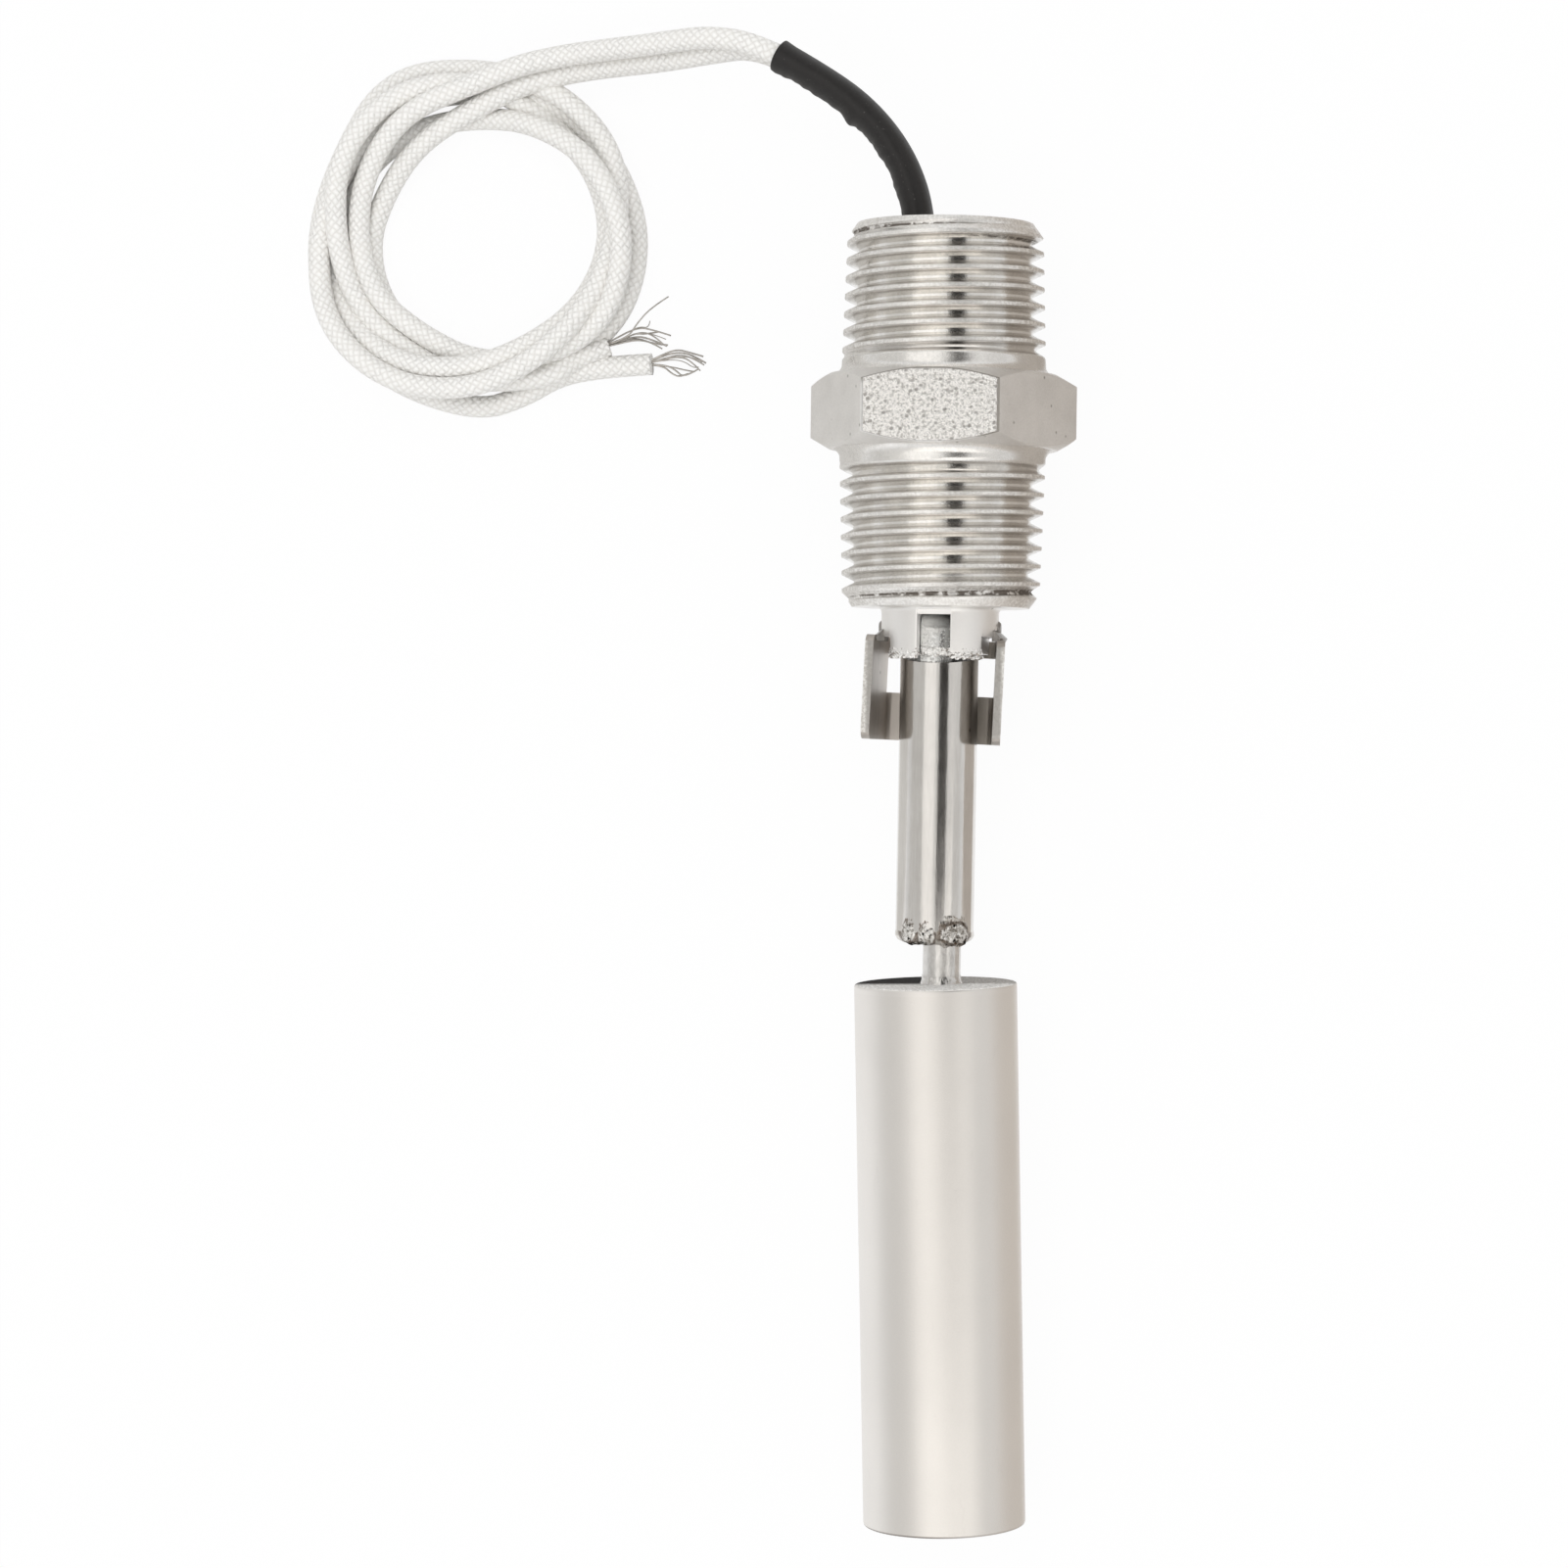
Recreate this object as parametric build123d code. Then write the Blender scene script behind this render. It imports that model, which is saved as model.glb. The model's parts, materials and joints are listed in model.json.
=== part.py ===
from build123d import *
import math
import os

# Side mount float switch, lying on one flat of its hexagon.
# Millimetres and degrees. X runs along the body's axis towards the float, from the hexagon's
# tank-side face. Z is up, and the leads come out at the -X end.

# Pipe threads at both ends of the nipple, 14 threads to the inch, tapered 1 in 16 on diameter
thread_pitch = 25.4 / 14
thread_taper = 1 / 16
thread_depth = 1.25
crest_flat = 0.34
root_flat = 0.24
process_thread_length = 16.1
process_crest_dia = 21.1
process_neck_length = 1.3
process_first_crest = 3.2
conduit_thread_length = 15.4
conduit_crest_dia = 20.9
conduit_neck_length = 1.5
conduit_first_crest = 3.8
end_chamfer = 0.9
end_chamfer_drop = 0.5
neck_flare = 0.45
neck_flare_length = 0.3
neck_proud = 0.1
runout_length = 0.6

# Hexagon
hex_across_flats = 23.8
hex_length = 7.6
hex_chamfer_depth = 0.95
hex_chamfer_angle = 30
hex_face_drop = 0.25

# Bores inside the nipple
cable_bore_dia = 10.0
reed_pocket_dia = 7.0
reed_pocket_start = -6.0
reed_pocket_end = 13.6
potting_recess = 1.6

# Forked boss that carries the arm
boss_dia = 12.0
boss_length = 4.7
boss_root_radius = 0.6
slot_width = 3.4
slot_from_boss_root = 0.3
boss_flat_width = 9.3
boss_flat_length = 1.7

# Hinge pin
pin_dia = 1.5
pin_from_boss_root = 2.1
pin_proud = 0.25
pin_dome = 0.2
hinge_clearance = 0.05

# Stop bracket, one folded sheet open to the top, slightly skewed on the boss as it was welded
sheet = 0.85
bracket_from_boss_root = 3.1
bracket_length = 10.65
bracket_floor_width = 10.9
bracket_offset = -0.13
bracket_depth = 9.95
bracket_splay = 4.7
bracket_bend_radius = 0.5
window_start = 1.75
window_length = 4.0
window_rise = 1.0
bracket_skew = -2.2
bracket_roll = -1.7
flange_corner = 1.1
bracket_weld_leg = 0.9
bracket_weld_lap = 0.35
bracket_weld_crown = 0.2
bracket_weld_arc = 44
weld_bite = 0.1

# Arm: knuckle, tube and what the tube holds. The end is cut to a blunt wedge, to swing clear of the boss
arm_gap = 0.2
arm_wedge = 9.2
knuckle_side_clearance = 0.1
knuckle_nose_radius = 2.4
knuckle_nose_gap = 0.25
knuckle_height = 7.0
knuckle_spigot = 3.8
arm_tube_dia = 8.0
arm_tube_wall = 0.5
arm_end_from_boss_root = 34.3
arm_yaw = -0.5
end_plug_length = 3.2
end_weld_length = 1.1
end_weld_radius = 0.9
weld_patch_proud = 0.25
weld_patch_length = 2.1
weld_patch_rise = 0.35
weld_patch_arc = 105
weld_patch_turn = -26.25
magnet_dia = 5.0
magnet_length = 12.0
magnet_chamfer = 0.3
carrier_floor = 1.2
fit_gap = 0.03

# Rod and float
rod_dia = 3.9
rod_offset = 0.8
rod_weld_leg = 0.7
rod_weld_toe = 0.05
rod_weld_crown = 0.1
rod_weld_lap = 0.3
float_dia = 16.7
float_length = 55.75
float_wall = 0.28
float_cap = 0.7
float_cap_lip = 1.4
float_edge_radius = 0.25
float_from_boss_root = 38.45
float_offset = 0.2
float_lean = 2.0

# Reed switch and its wiring inside the nipple
glass_dia = 2.6
glass_wall = 0.35
glass_length = 14.0
glass_seal = 2.4
glass_start = -4.0
blade_wire_dia = 0.55
blade_width = 1.1
blade_thickness = 0.22
blade_gap = 0.12
blade_overlap = 1.1
blade_root = 0.4
glass_edge = 0.91
jacket_start = 0.6
jacket_length = 16.4
jacket_gap = 0.1
wire_bend = 0.8
front_wire_reach = 2.2
rear_wire_straight = 2.2
rear_wire_reach = 4.6
wire_grip = 0.2
crimp_dia = 1.5
crimp_length = 4.4
crimp_wire_grip = 2.0

# Leads, their shrink sleeve and the loose coil
lead_dia = 2.3
conductor_dia = 0.9
conductor_reach = 2.6
lead_spacing = 2.34
lead_start = -13.5
sleeve_wall = 0.3
sleeve_slack = 0.03
coil_centre = (-22.6, -51.0)
coil_outer_radius = 18.6
coil_inner_radius = 11.7
coil_height = 5.0
coil_edge_radius = 1.0
strand_spread_dia = 1.6

# The sleeve's route, level with the body's axis, as (x, y)
sleeve_route = [
    (lead_start, -2.3),
    (-18.8, -2.35),
    (-24.1, -2.6),
    (-29.4, -4.4),
    (-34.0, -7.4),
    (-37.3, -11.9),
]
sleeve_first = 1
sleeve_mouth = (-39.75, -17.2)
lead_route_past_sleeve = (-40.85, -19.6)

# Each lead from there down to the coil on the floor, as (x, y, z)
lead_a_route = [
    (-42.2, -25.0, 0.0),
    (-42.4, -30.4, -2.4),
    (-42.0, -35.8, -5.1),
    (-41.6, -41.1, -7.4),
    (-40.5, -46.3, -8.5),
    (-38.6, -51.2, -8.6),
]
lead_b_route = [
    (-40.9, -25.0, -2.8),
    (-40.3, -30.3, -4.6),
    (-39.8, -35.6, -6.5),
    (-39.1, -40.9, -8.0),
    (-38.0, -46.0, -8.5),
    (-36.0, -50.6, -8.6),
]

# The bare end of each lead past the coil, as (x, y) on the floor
tail_b_route = [(-7.4, -41.6), (-8.8, -37.0), (-9.6, -32.0)]
strands_a_route = [(-10.6, -38.6), (-12.2, -35.6), (-12.9, -33.2), (-11.8, -30.9)]
strands_b_end = (-9.7, -26.6)

# Sizes that follow from those above
floor_z = -hex_across_flats / 2
body_start = -(hex_length + conduit_thread_length)
boss_start = process_thread_length
boss_end = boss_start + boss_length
slot_floor = boss_start + slot_from_boss_root
pin_x = boss_start + pin_from_boss_root
bracket_start = boss_start + bracket_from_boss_root
arm_end = boss_start + arm_end_from_boss_root
float_start = boss_start + float_from_boss_root
boss_radius = boss_dia / 2
tongue_thickness = slot_width - 2 * knuckle_side_clearance
arm_wedge_depth = arm_tube_dia / 2 * math.tan(math.radians(arm_wedge))
tube_start = boss_end + arm_gap
tube_end = arm_end - end_weld_length
tube_radius = arm_tube_dia / 2
tube_bore_radius = tube_radius - arm_tube_wall
spigot_end = tube_start + arm_wedge_depth + knuckle_spigot
float_radius = float_dia / 2
lead_radius = lead_dia / 2
lead_floor_z = floor_z + lead_radius

# Droop of the arm until the float's lower far edge rests on the floor
reach = float_start + float_length * math.cos(math.radians(float_lean)) - pin_x - float_edge_radius
edge_drop = float_radius - float_edge_radius
arm_droop = math.degrees(
    math.asin((-floor_z - float_edge_radius) / math.hypot(reach, edge_drop)) - math.atan2(edge_drop, reach)
)


def turned(outline, rounded=(), radius=0.0, arc=360.0):
    """Turn a closed outline of (x, radius) points about the X axis, with some corners rounded."""
    face = make_face(Polyline(*outline, close=True))
    if rounded:
        corners = [v for v in face.vertices() for p in rounded if (Vector(v.X, v.Y) - Vector(*p)).length < 1e-6]
        face = fillet(corners, radius)
    return revolve(face, Axis.X, arc)


def rod_along_x(start, end, radius, y=0.0, z=0.0):
    """A plain round bar along X."""
    return Plane(origin=(start, y, z), z_dir=(1, 0, 0)) * extrude(Circle(radius), end - start)


def cord_radii(points):
    """The arc at each inner point of a cord's route: 0.45 of the shorter run over tan of half the turn."""
    radii = []
    for before, here, after in zip(points, points[1:], points[2:]):
        run_in = Vector(*here) - Vector(*before)
        run_out = Vector(*after) - Vector(*here)
        half_turn = math.radians(run_in.get_angle(run_out)) / 2
        radii.append(0.45 * min(run_in.length, run_out.length) / math.tan(half_turn))
    return radii


def cord_path(points):
    """Straight runs joined by tangent arcs."""
    if len(points) == 2:
        return Line(*points)
    return FilletPolyline(*points, radius=cord_radii(points))


def tube_on(path, radius):
    """A round bar swept along a path."""
    start = Plane(origin=path @ 0, z_dir=path % 0)
    return sweep(start * Circle(radius), path=path)


# The nipple
def crest_ring(crest_x, crest_radius):
    """One thread ridge as (x, radius) points, roots at both sides."""
    flank = (thread_pitch - crest_flat - root_flat) / 2
    root = crest_radius - thread_depth
    return [
        (crest_x - crest_flat / 2 - flank, root),
        (crest_x - crest_flat / 2, crest_radius),
        (crest_x + crest_flat / 2, crest_radius),
        (crest_x + crest_flat / 2 + flank, root),
    ]


def threaded_end(length, crest_dia, neck, first_crest):
    """Outline of one threaded end from the hexagon's face at 0, as (distance, radius) points.
    The thread is drawn as rings at its own pitch and taper."""
    neck_radius = crest_dia / 2
    points = [
        (0.0, neck_radius + neck_flare),
        (neck_flare_length, neck_radius + neck_proud),
        (neck, neck_radius),
        (neck + runout_length, neck_radius - thread_depth),
    ]
    crest_x = first_crest
    while crest_x + thread_pitch / 2 < length - end_chamfer:
        radius = crest_dia / 2 - crest_x * thread_taper / 2
        points += crest_ring(crest_x, radius)
        crest_x += thread_pitch
    radius = crest_dia / 2 - length * thread_taper / 2
    last_crest = crest_ring(crest_x, radius)
    points += [last_crest[0], last_crest[1]]
    points.append((length, radius - end_chamfer_drop))
    return points


def nipple():
    process = threaded_end(process_thread_length, process_crest_dia, process_neck_length, process_first_crest)
    conduit = threaded_end(conduit_thread_length, conduit_crest_dia, conduit_neck_length, conduit_first_crest)
    outline = [(body_start, 0.0)]
    outline += [(-hex_length - d, r) for d, r in reversed(conduit)]
    outline += process
    outline += [(boss_start, boss_radius), (boss_end, boss_radius), (boss_end, 0.0)]
    body = turned(outline, rounded=[(boss_start, boss_radius)], radius=boss_root_radius)

    corner_radius = hex_across_flats / 2 / math.cos(math.radians(30))
    hexagon = Plane(origin=(-hex_length, 0, 0), x_dir=(0, 1, 0), z_dir=(1, 0, 0)) * extrude(
        RegularPolygon(corner_radius, 6, rotation=0), hex_length
    )
    face_radius = hex_across_flats / 2 - hex_face_drop
    edge = hex_chamfer_depth
    top = face_radius + edge / math.tan(math.radians(hex_chamfer_angle))
    barrel = turned([
        (-hex_length, 0.0),
        (-hex_length, face_radius),
        (-hex_length + edge, top),
        (-edge, top),
        (0.0, face_radius),
        (0.0, 0.0),
    ])
    body = body + (hexagon & barrel)

    body -= rod_along_x(body_start, reed_pocket_start, cable_bore_dia / 2)
    body -= rod_along_x(reed_pocket_start, reed_pocket_end, reed_pocket_dia / 2)
    slot_length = boss_end - slot_floor
    past = 2 * boss_dia
    body -= Pos(slot_floor + slot_length, 0, 0) * Box(2 * slot_length, slot_width, past)
    for side in (-1, 1):
        body -= Pos(boss_end, side * (boss_flat_width / 2 + boss_radius), 0) * Box(
            2 * boss_flat_length, boss_dia, past
        )
    body -= Plane(origin=(pin_x, -boss_dia, 0), z_dir=(0, 1, 0)) * extrude(Circle(pin_dia / 2), past)
    return body


def pin():
    """Hinge pin along Y, pressed through both cheeks of the fork."""
    half = boss_radius + pin_proud
    radius = pin_dia / 2
    bar = Plane(origin=(pin_x, -half, 0), z_dir=(0, 1, 0)) * extrude(Circle(radius), 2 * half)
    return chamfer(bar.edges().filter_by(GeomType.CIRCLE), pin_dome)


# The stop bracket
def bracket():
    half_floor = bracket_floor_width / 2
    lean = bracket_depth * math.tan(math.radians(bracket_splay))
    section = Polyline(
        (-half_floor - lean, bracket_depth),
        (-half_floor, 0),
        (half_floor, 0),
        (half_floor + lean, bracket_depth),
    )
    inner = make_face(section + Line(section @ 1, section @ 0))
    grown = offset(inner, sheet, kind=Kind.INTERSECTION)
    keep = Pos(0, (bracket_depth - sheet) / 2) * Rectangle(4 * half_floor, bracket_depth + sheet)
    channel_face = (grown & keep) - inner
    outer_bend = bracket_bend_radius + sheet
    low = [v for v in channel_face.vertices() if v.Y < -0.5 * sheet]
    channel_face = fillet(low, outer_bend)
    bends = [v for v in channel_face.vertices() if abs(v.Y) < 1e-6 and abs(abs(v.X) - half_floor) < 0.01]
    channel_face = fillet(bends, bracket_bend_radius)
    across = Plane(origin=(0, 0, -boss_radius), x_dir=(0, 1, 0), z_dir=(1, 0, 0))
    channel = across * extrude(channel_face, bracket_length)

    window_depth = sheet + window_rise
    window_middle = window_rise - window_depth / 2 - boss_radius
    channel -= Pos(window_start + window_length / 2, 0, window_middle) * Box(
        window_length, 2 * bracket_floor_width, window_depth
    )
    flange_top = bracket_depth - boss_radius
    corners = [
        e
        for e in channel.edges().filter_by(Axis.Y)
        if e.center().Z > flange_top - sheet / 2 and e.length < 2 * sheet
    ]
    channel = fillet(corners, flange_corner)
    channel = Pos(bracket_start, bracket_offset, 0) * Rot(Z=bracket_skew) * channel
    return Rot(X=bracket_roll) * channel


def bracket_weld(side, body, sheet_part, hinge):
    """A weld bead that ties the end of one flange to the fork's cheek."""
    top = boss_radius + bracket_weld_leg
    bead = turned(
        [
            (bracket_start - bracket_weld_leg, boss_radius - weld_bite),
            (bracket_start + bracket_weld_lap, boss_radius - weld_bite),
            (bracket_start + bracket_weld_lap, top - bracket_weld_crown),
            (bracket_start, top),
        ],
        arc=bracket_weld_arc,
    )
    middle = 0 if side > 0 else 180
    bead = Rot(X=middle - bracket_weld_arc / 2 + bracket_roll) * bead
    bead = bead - body - sheet_part - hinge
    return biggest(bead)


def biggest(shape):
    """The largest solid of a shape, so that a cut leaves no crumbs."""
    return max(shape.solids(), key=lambda s: s.volume)


# The float arm, drawn level and straight, then set at its yaw and droop
def set_arm(shape):
    about_pin = Pos(pin_x, 0, 0) * Rot(Y=arm_droop) * Rot(Z=arm_yaw) * Pos(-pin_x, 0, 0)
    return about_pin * shape


def wedge_cut(shape):
    """Cut the start of a piece of the arm back, above and below its middle."""
    past = 2 * arm_tube_dia
    for side in (-1, 1):
        half_space = Pos(-past / 2, 0, side * past / 2) * Box(past, past, past)
        shape = shape - Pos(tube_start, 0, 0) * Rot(Y=side * arm_wedge) * half_space
    return shape


def knuckle():
    """Spigot that closes the tube, with the tongue that swings in the fork."""
    spigot = rod_along_x(tube_start, spigot_end, tube_bore_radius - fit_gap)
    start = slot_floor + knuckle_nose_gap
    side_view = Plane(origin=(0, tongue_thickness / 2, 0), x_dir=(1, 0, 0), z_dir=(0, -1, 0))
    length = spigot_end - start
    nose = make_face(
        Polyline(
            (start, knuckle_height / 2),
            (start + length, knuckle_height / 2),
            (start + length, -knuckle_height / 2),
            (start, -knuckle_height / 2),
            close=True,
        )
    )
    nose = fillet([v for v in nose.vertices() if v.X < start + fit_gap], knuckle_nose_radius)
    tongue = side_view * extrude(nose, tongue_thickness)
    inside = rod_along_x(start, spigot_end, tube_bore_radius - fit_gap)
    return wedge_cut(spigot) + (tongue & inside)


def knuckle_in_place():
    """The pin hole is square to the fork, whatever the arm's yaw."""
    hole = Plane(origin=(pin_x, -slot_width, 0), z_dir=(0, 1, 0)) * extrude(
        Circle(pin_dia / 2 + hinge_clearance), 2 * slot_width
    )
    return set_arm(knuckle()) - hole


def tube_ring(start, end, outer, inner):
    return turned([(start, inner), (start, outer), (end, outer), (end, inner)])


def arm_tube():
    return wedge_cut(tube_ring(tube_start, tube_end, tube_radius, tube_bore_radius))


def magnet_carrier():
    """A moulded cup that holds the magnet against the knuckle's spigot."""
    start = spigot_end + fit_gap
    cup_end = start + magnet_length + fit_gap + carrier_floor
    outer = tube_bore_radius - fit_gap
    cup = rod_along_x(start, cup_end, outer)
    return cup - rod_along_x(start, cup_end - carrier_floor, magnet_dia / 2 + fit_gap)


def magnet():
    start = spigot_end + fit_gap
    bar = rod_along_x(start, start + magnet_length, magnet_dia / 2)
    return chamfer(bar.edges().filter_by(GeomType.CIRCLE), magnet_chamfer)


def rod():
    return rod_along_x(tube_end - end_plug_length, float_start + float_cap_lip, rod_dia / 2, y=rod_offset)


def end_plug():
    start = tube_end - end_plug_length
    return rod_along_x(start, tube_end, tube_bore_radius - fit_gap) - rod()


def end_weld(tube):
    """The fused end of the tube round the rod, with a proud patch of weld on one side."""
    cap = turned(
        [(tube_end, 0.0), (tube_end, tube_radius), (arm_end, tube_radius), (arm_end, 0.0)],
        rounded=[(arm_end, tube_radius)],
        radius=end_weld_radius,
    )
    patch = turned(
        [
            (tube_end - weld_patch_length, tube_radius - weld_bite),
            (tube_end - weld_patch_length + weld_patch_rise, tube_radius + weld_patch_proud),
            (tube_end, tube_radius + weld_patch_proud),
            (arm_end - end_weld_radius, tube_radius - weld_bite),
        ],
        arc=weld_patch_arc,
    )
    patch = Rot(X=weld_patch_turn) * patch
    return (cap + patch) - tube - rod()


def float_frame(shape):
    """From the float's own axis, drawn from 0, to its leaning place on the arm."""
    return Pos(float_start, float_offset, 0) * Rot(Z=float_lean) * shape


def float_cap_solid():
    """End cap with a rounded rim and a thin lip that locates it in the shell."""
    lip_radius = float_radius - float_wall - fit_gap
    return turned(
        [
            (0.0, 0.0),
            (0.0, float_radius),
            (float_cap, float_radius),
            (float_cap, lip_radius),
            (float_cap_lip, lip_radius),
            (float_cap_lip, lip_radius - float_wall),
            (float_cap, lip_radius - float_wall),
            (float_cap, 0.0),
        ],
        rounded=[(0.0, float_radius)],
        radius=float_edge_radius,
    )


def top_cap():
    return float_frame(float_cap_solid()) - rod()


def bottom_cap():
    return float_frame(Pos(float_length, 0, 0) * Rot(Z=180) * float_cap_solid())


def shell():
    return float_frame(tube_ring(float_cap, float_length - float_cap, float_radius, float_radius - float_wall))


def rod_weld():
    """A small fillet of weld where the rod enters the float."""
    root = rod_dia / 2
    ring = turned([
        (float_start - rod_weld_leg, root - weld_bite),
        (float_start - rod_weld_leg, root + rod_weld_toe),
        (float_start - rod_weld_crown, root + rod_weld_leg),
        (float_start + rod_weld_lap, root + rod_weld_leg),
        (float_start + rod_weld_lap, root - weld_bite),
    ])
    return biggest(Pos(0, rod_offset, 0) * ring - rod() - top_cap())


# The reed switch
lead_y = sleeve_route[0][1]
lead_z = lead_spacing / 2
glass_end = glass_start + glass_length
glass_middle = (glass_start + glass_end) / 2
blade_shift = (blade_gap + blade_thickness) / 2
conductor_end = lead_start + conductor_reach
crimp_start = conductor_end - (crimp_length - crimp_wire_grip) / 2
crimp_end = crimp_start + crimp_length


def blade(inner_end, seal, side):
    """The flat part of one blade, from the glass seal to its tip, shifted off the middle by its gap."""
    length = abs(inner_end - seal)
    middle = (inner_end + seal) / 2
    return Pos(middle, 0, side * blade_shift) * Box(length, blade_width, blade_thickness)


def rear_blade():
    tip = glass_middle + blade_overlap / 2
    route = [
        (glass_start + glass_seal, 0, 0),
        (glass_start - rear_wire_straight, 0, 0),
        (glass_start - rear_wire_reach, lead_y, lead_z),
        (conductor_end + wire_grip, lead_y, lead_z),
    ]
    wire = tube_on(FilletPolyline(*route, radius=wire_bend), blade_wire_dia / 2)
    return wire + blade(tip, glass_start + glass_seal - blade_root, 1)


def front_blade():
    tip = glass_middle - blade_overlap / 2
    turn_x = glass_end + front_wire_reach
    route = [
        (glass_end - glass_seal, 0, 0),
        (turn_x, 0, 0),
        (turn_x, lead_y, -lead_z),
        (conductor_end + wire_grip, lead_y, -lead_z),
    ]
    wire = tube_on(FilletPolyline(*route, radius=wire_bend), blade_wire_dia / 2)
    return wire + blade(tip, glass_end - glass_seal + blade_root, -1)


def glass(front, rear):
    """Sealed glass capsule round both blades."""
    radius = glass_dia / 2
    capsule = turned(
        [(glass_start, 0.0), (glass_start, radius), (glass_end, radius), (glass_end, 0.0)],
        rounded=[(glass_start, radius), (glass_end, radius)],
        radius=glass_edge,
    )
    cavity_radius = radius - glass_wall
    cavity = rod_along_x(glass_start + glass_seal, glass_end - glass_seal, cavity_radius)
    return biggest(capsule - cavity - front - rear)


def jacket(front):
    """Soft sleeve that centres the capsule in its pocket and keeps the return wire off it."""
    start = reed_pocket_start + jacket_start
    body = rod_along_x(start, start + jacket_length, reed_pocket_dia / 2 - jacket_gap)
    body -= rod_along_x(start, start + jacket_length, glass_dia / 2 + fit_gap)
    return body - front


def crimp(side, blade_part, core):
    body = rod_along_x(crimp_start, crimp_end, crimp_dia / 2, lead_y, side * lead_z)
    return body - blade_part - core


def conductor(side):
    return rod_along_x(lead_start, conductor_end, conductor_dia / 2, lead_y, side * lead_z)


# The leads and their sleeve
def lead_points(side, rest):
    """One lead's whole route from inside the potting to the coil."""
    points = [(x, y, side * lead_z) for x, y in sleeve_route]
    points.append((*lead_route_past_sleeve, side * lead_z))
    return points + rest


def sleeve_section(width, path):
    long_way = lead_spacing + width
    face = Plane(origin=path @ 0, x_dir=(0, 0, 1), z_dir=path % 0) * SlotOverall(long_way, width)
    return sweep(face, path=path)


def sleeve(lead_a, lead_b):
    """Oval shrink tube round both leads, from inside the potting to its mouth."""
    points = [(x, y, 0) for x, y in sleeve_route[sleeve_first:]] + [(*sleeve_mouth, 0)]
    path = cord_path(points)
    bore = lead_dia + 2 * sleeve_slack
    outer = sleeve_section(bore + 2 * sleeve_wall, path)
    return outer - sleeve_section(bore, path) - lead_a - lead_b


def coil():
    """The outer shape of the loose coil, both leads together, lying on the floor."""
    low = (coil_inner_radius + coil_outer_radius) / 2
    width = coil_outer_radius - coil_inner_radius
    section = Pos(low, coil_height / 2) * RectangleRounded(width, coil_height, coil_edge_radius)
    ring = revolve(Plane.XZ * section, Axis.Z)
    return Pos(*coil_centre, floor_z) * ring


def potting(inside):
    body = rod_along_x(body_start + potting_recess, reed_pocket_start, cable_bore_dia / 2 - fit_gap)
    for piece in inside:
        body = body - piece
    return biggest(body)


def strands_b():
    """The frayed bare strands as one spreading bundle."""
    start = Vector(*tail_b_route[-1], lead_floor_z)
    end = Vector(*strands_b_end, floor_z + strand_spread_dia / 2)
    return loft([
        Plane(origin=start, z_dir=end - start) * Circle(conductor_dia / 2),
        Plane(origin=end, z_dir=end - start) * Circle(strand_spread_dia / 2),
    ])


def build():
    """Every piece by the name of its file."""
    body = nipple()
    hinge = pin()
    stop = bracket()
    tube = arm_tube()
    route_a = lead_points(1, lead_a_route)
    route_b = lead_points(-1, lead_b_route)
    tail_b = [(x, y, lead_floor_z) for x, y in tail_b_route]
    strands_a = [(x, y, lead_floor_z) for x, y in strands_a_route]
    for name, route in (("lead a", route_a), ("lead b", route_b), ("tail b", tail_b), ("strands a", strands_a)):
        print(name, "radii", [round(r, 1) for r in cord_radii(route)])
    ring = coil()
    whole_a = tube_on(cord_path(route_a), lead_radius)
    whole_b = tube_on(cord_path(route_b), lead_radius)
    for name, solid, route in (("a", whole_a, route_a), ("b", whole_b, route_b)):
        expected = math.pi * lead_radius**2 * cord_path(route).length
        print("lead", name, "volume", round(solid.volume, 2), "section times length", round(expected, 2))
    run_a = biggest(whole_a - ring)
    run_b = biggest(whole_b - ring)
    front = front_blade()
    rear = rear_blade()
    core_a = conductor(1)
    core_b = conductor(-1)
    crimp_a = crimp(1, rear, core_a)
    crimp_b = crimp(-1, front, core_b)
    cover = sleeve(run_a, run_b)
    inside = [run_a, run_b, cover, core_a, core_b, crimp_a, crimp_b, rear, front]
    return {
        "nipple_body": body,
        "stop_bracket": stop,
        "bracket_weld_left": bracket_weld(-1, body, stop, hinge),
        "bracket_weld_right": bracket_weld(1, body, stop, hinge),
        "hinge_pin": hinge,
        "reed_glass": glass(front, rear),
        "reed_blade_front": front,
        "reed_blade_rear": rear,
        "reed_jacket": jacket(front),
        "crimp_a": crimp_a,
        "crimp_b": crimp_b,
        "conductor_a": core_a,
        "conductor_b": core_b,
        "potting": potting(inside),
        "shrink_sleeve": cover,
        "lead_a_run": run_a,
        "lead_b_run": run_b,
        "lead_coil": ring,
        "lead_b_tail": biggest(tube_on(cord_path(tail_b), lead_radius) - ring),
        "strands_a": biggest(tube_on(cord_path(strands_a), conductor_dia / 2) - ring),
        "strands_b": strands_b(),
        "arm_knuckle": knuckle_in_place(),
        "arm_tube": set_arm(tube),
        "arm_magnet": set_arm(magnet()),
        "magnet_carrier": set_arm(magnet_carrier()),
        "tube_end_plug": set_arm(end_plug()),
        "tube_end_weld": set_arm(end_weld(tube)),
        "float_rod": set_arm(rod()),
        "rod_weld": set_arm(rod_weld()),
        "float_shell": set_arm(shell()),
        "float_top_cap": set_arm(top_cap()),
        "float_bottom_cap": set_arm(bottom_cap()),
    }


os.makedirs("parts", exist_ok=True)
for node, shape in build().items():
    export_step(shape, f"parts/{node}.step")
print("arm droop", round(arm_droop, 3))
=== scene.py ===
import json
import math

import bpy
from mathutils import Matrix, Vector, noise


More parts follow.
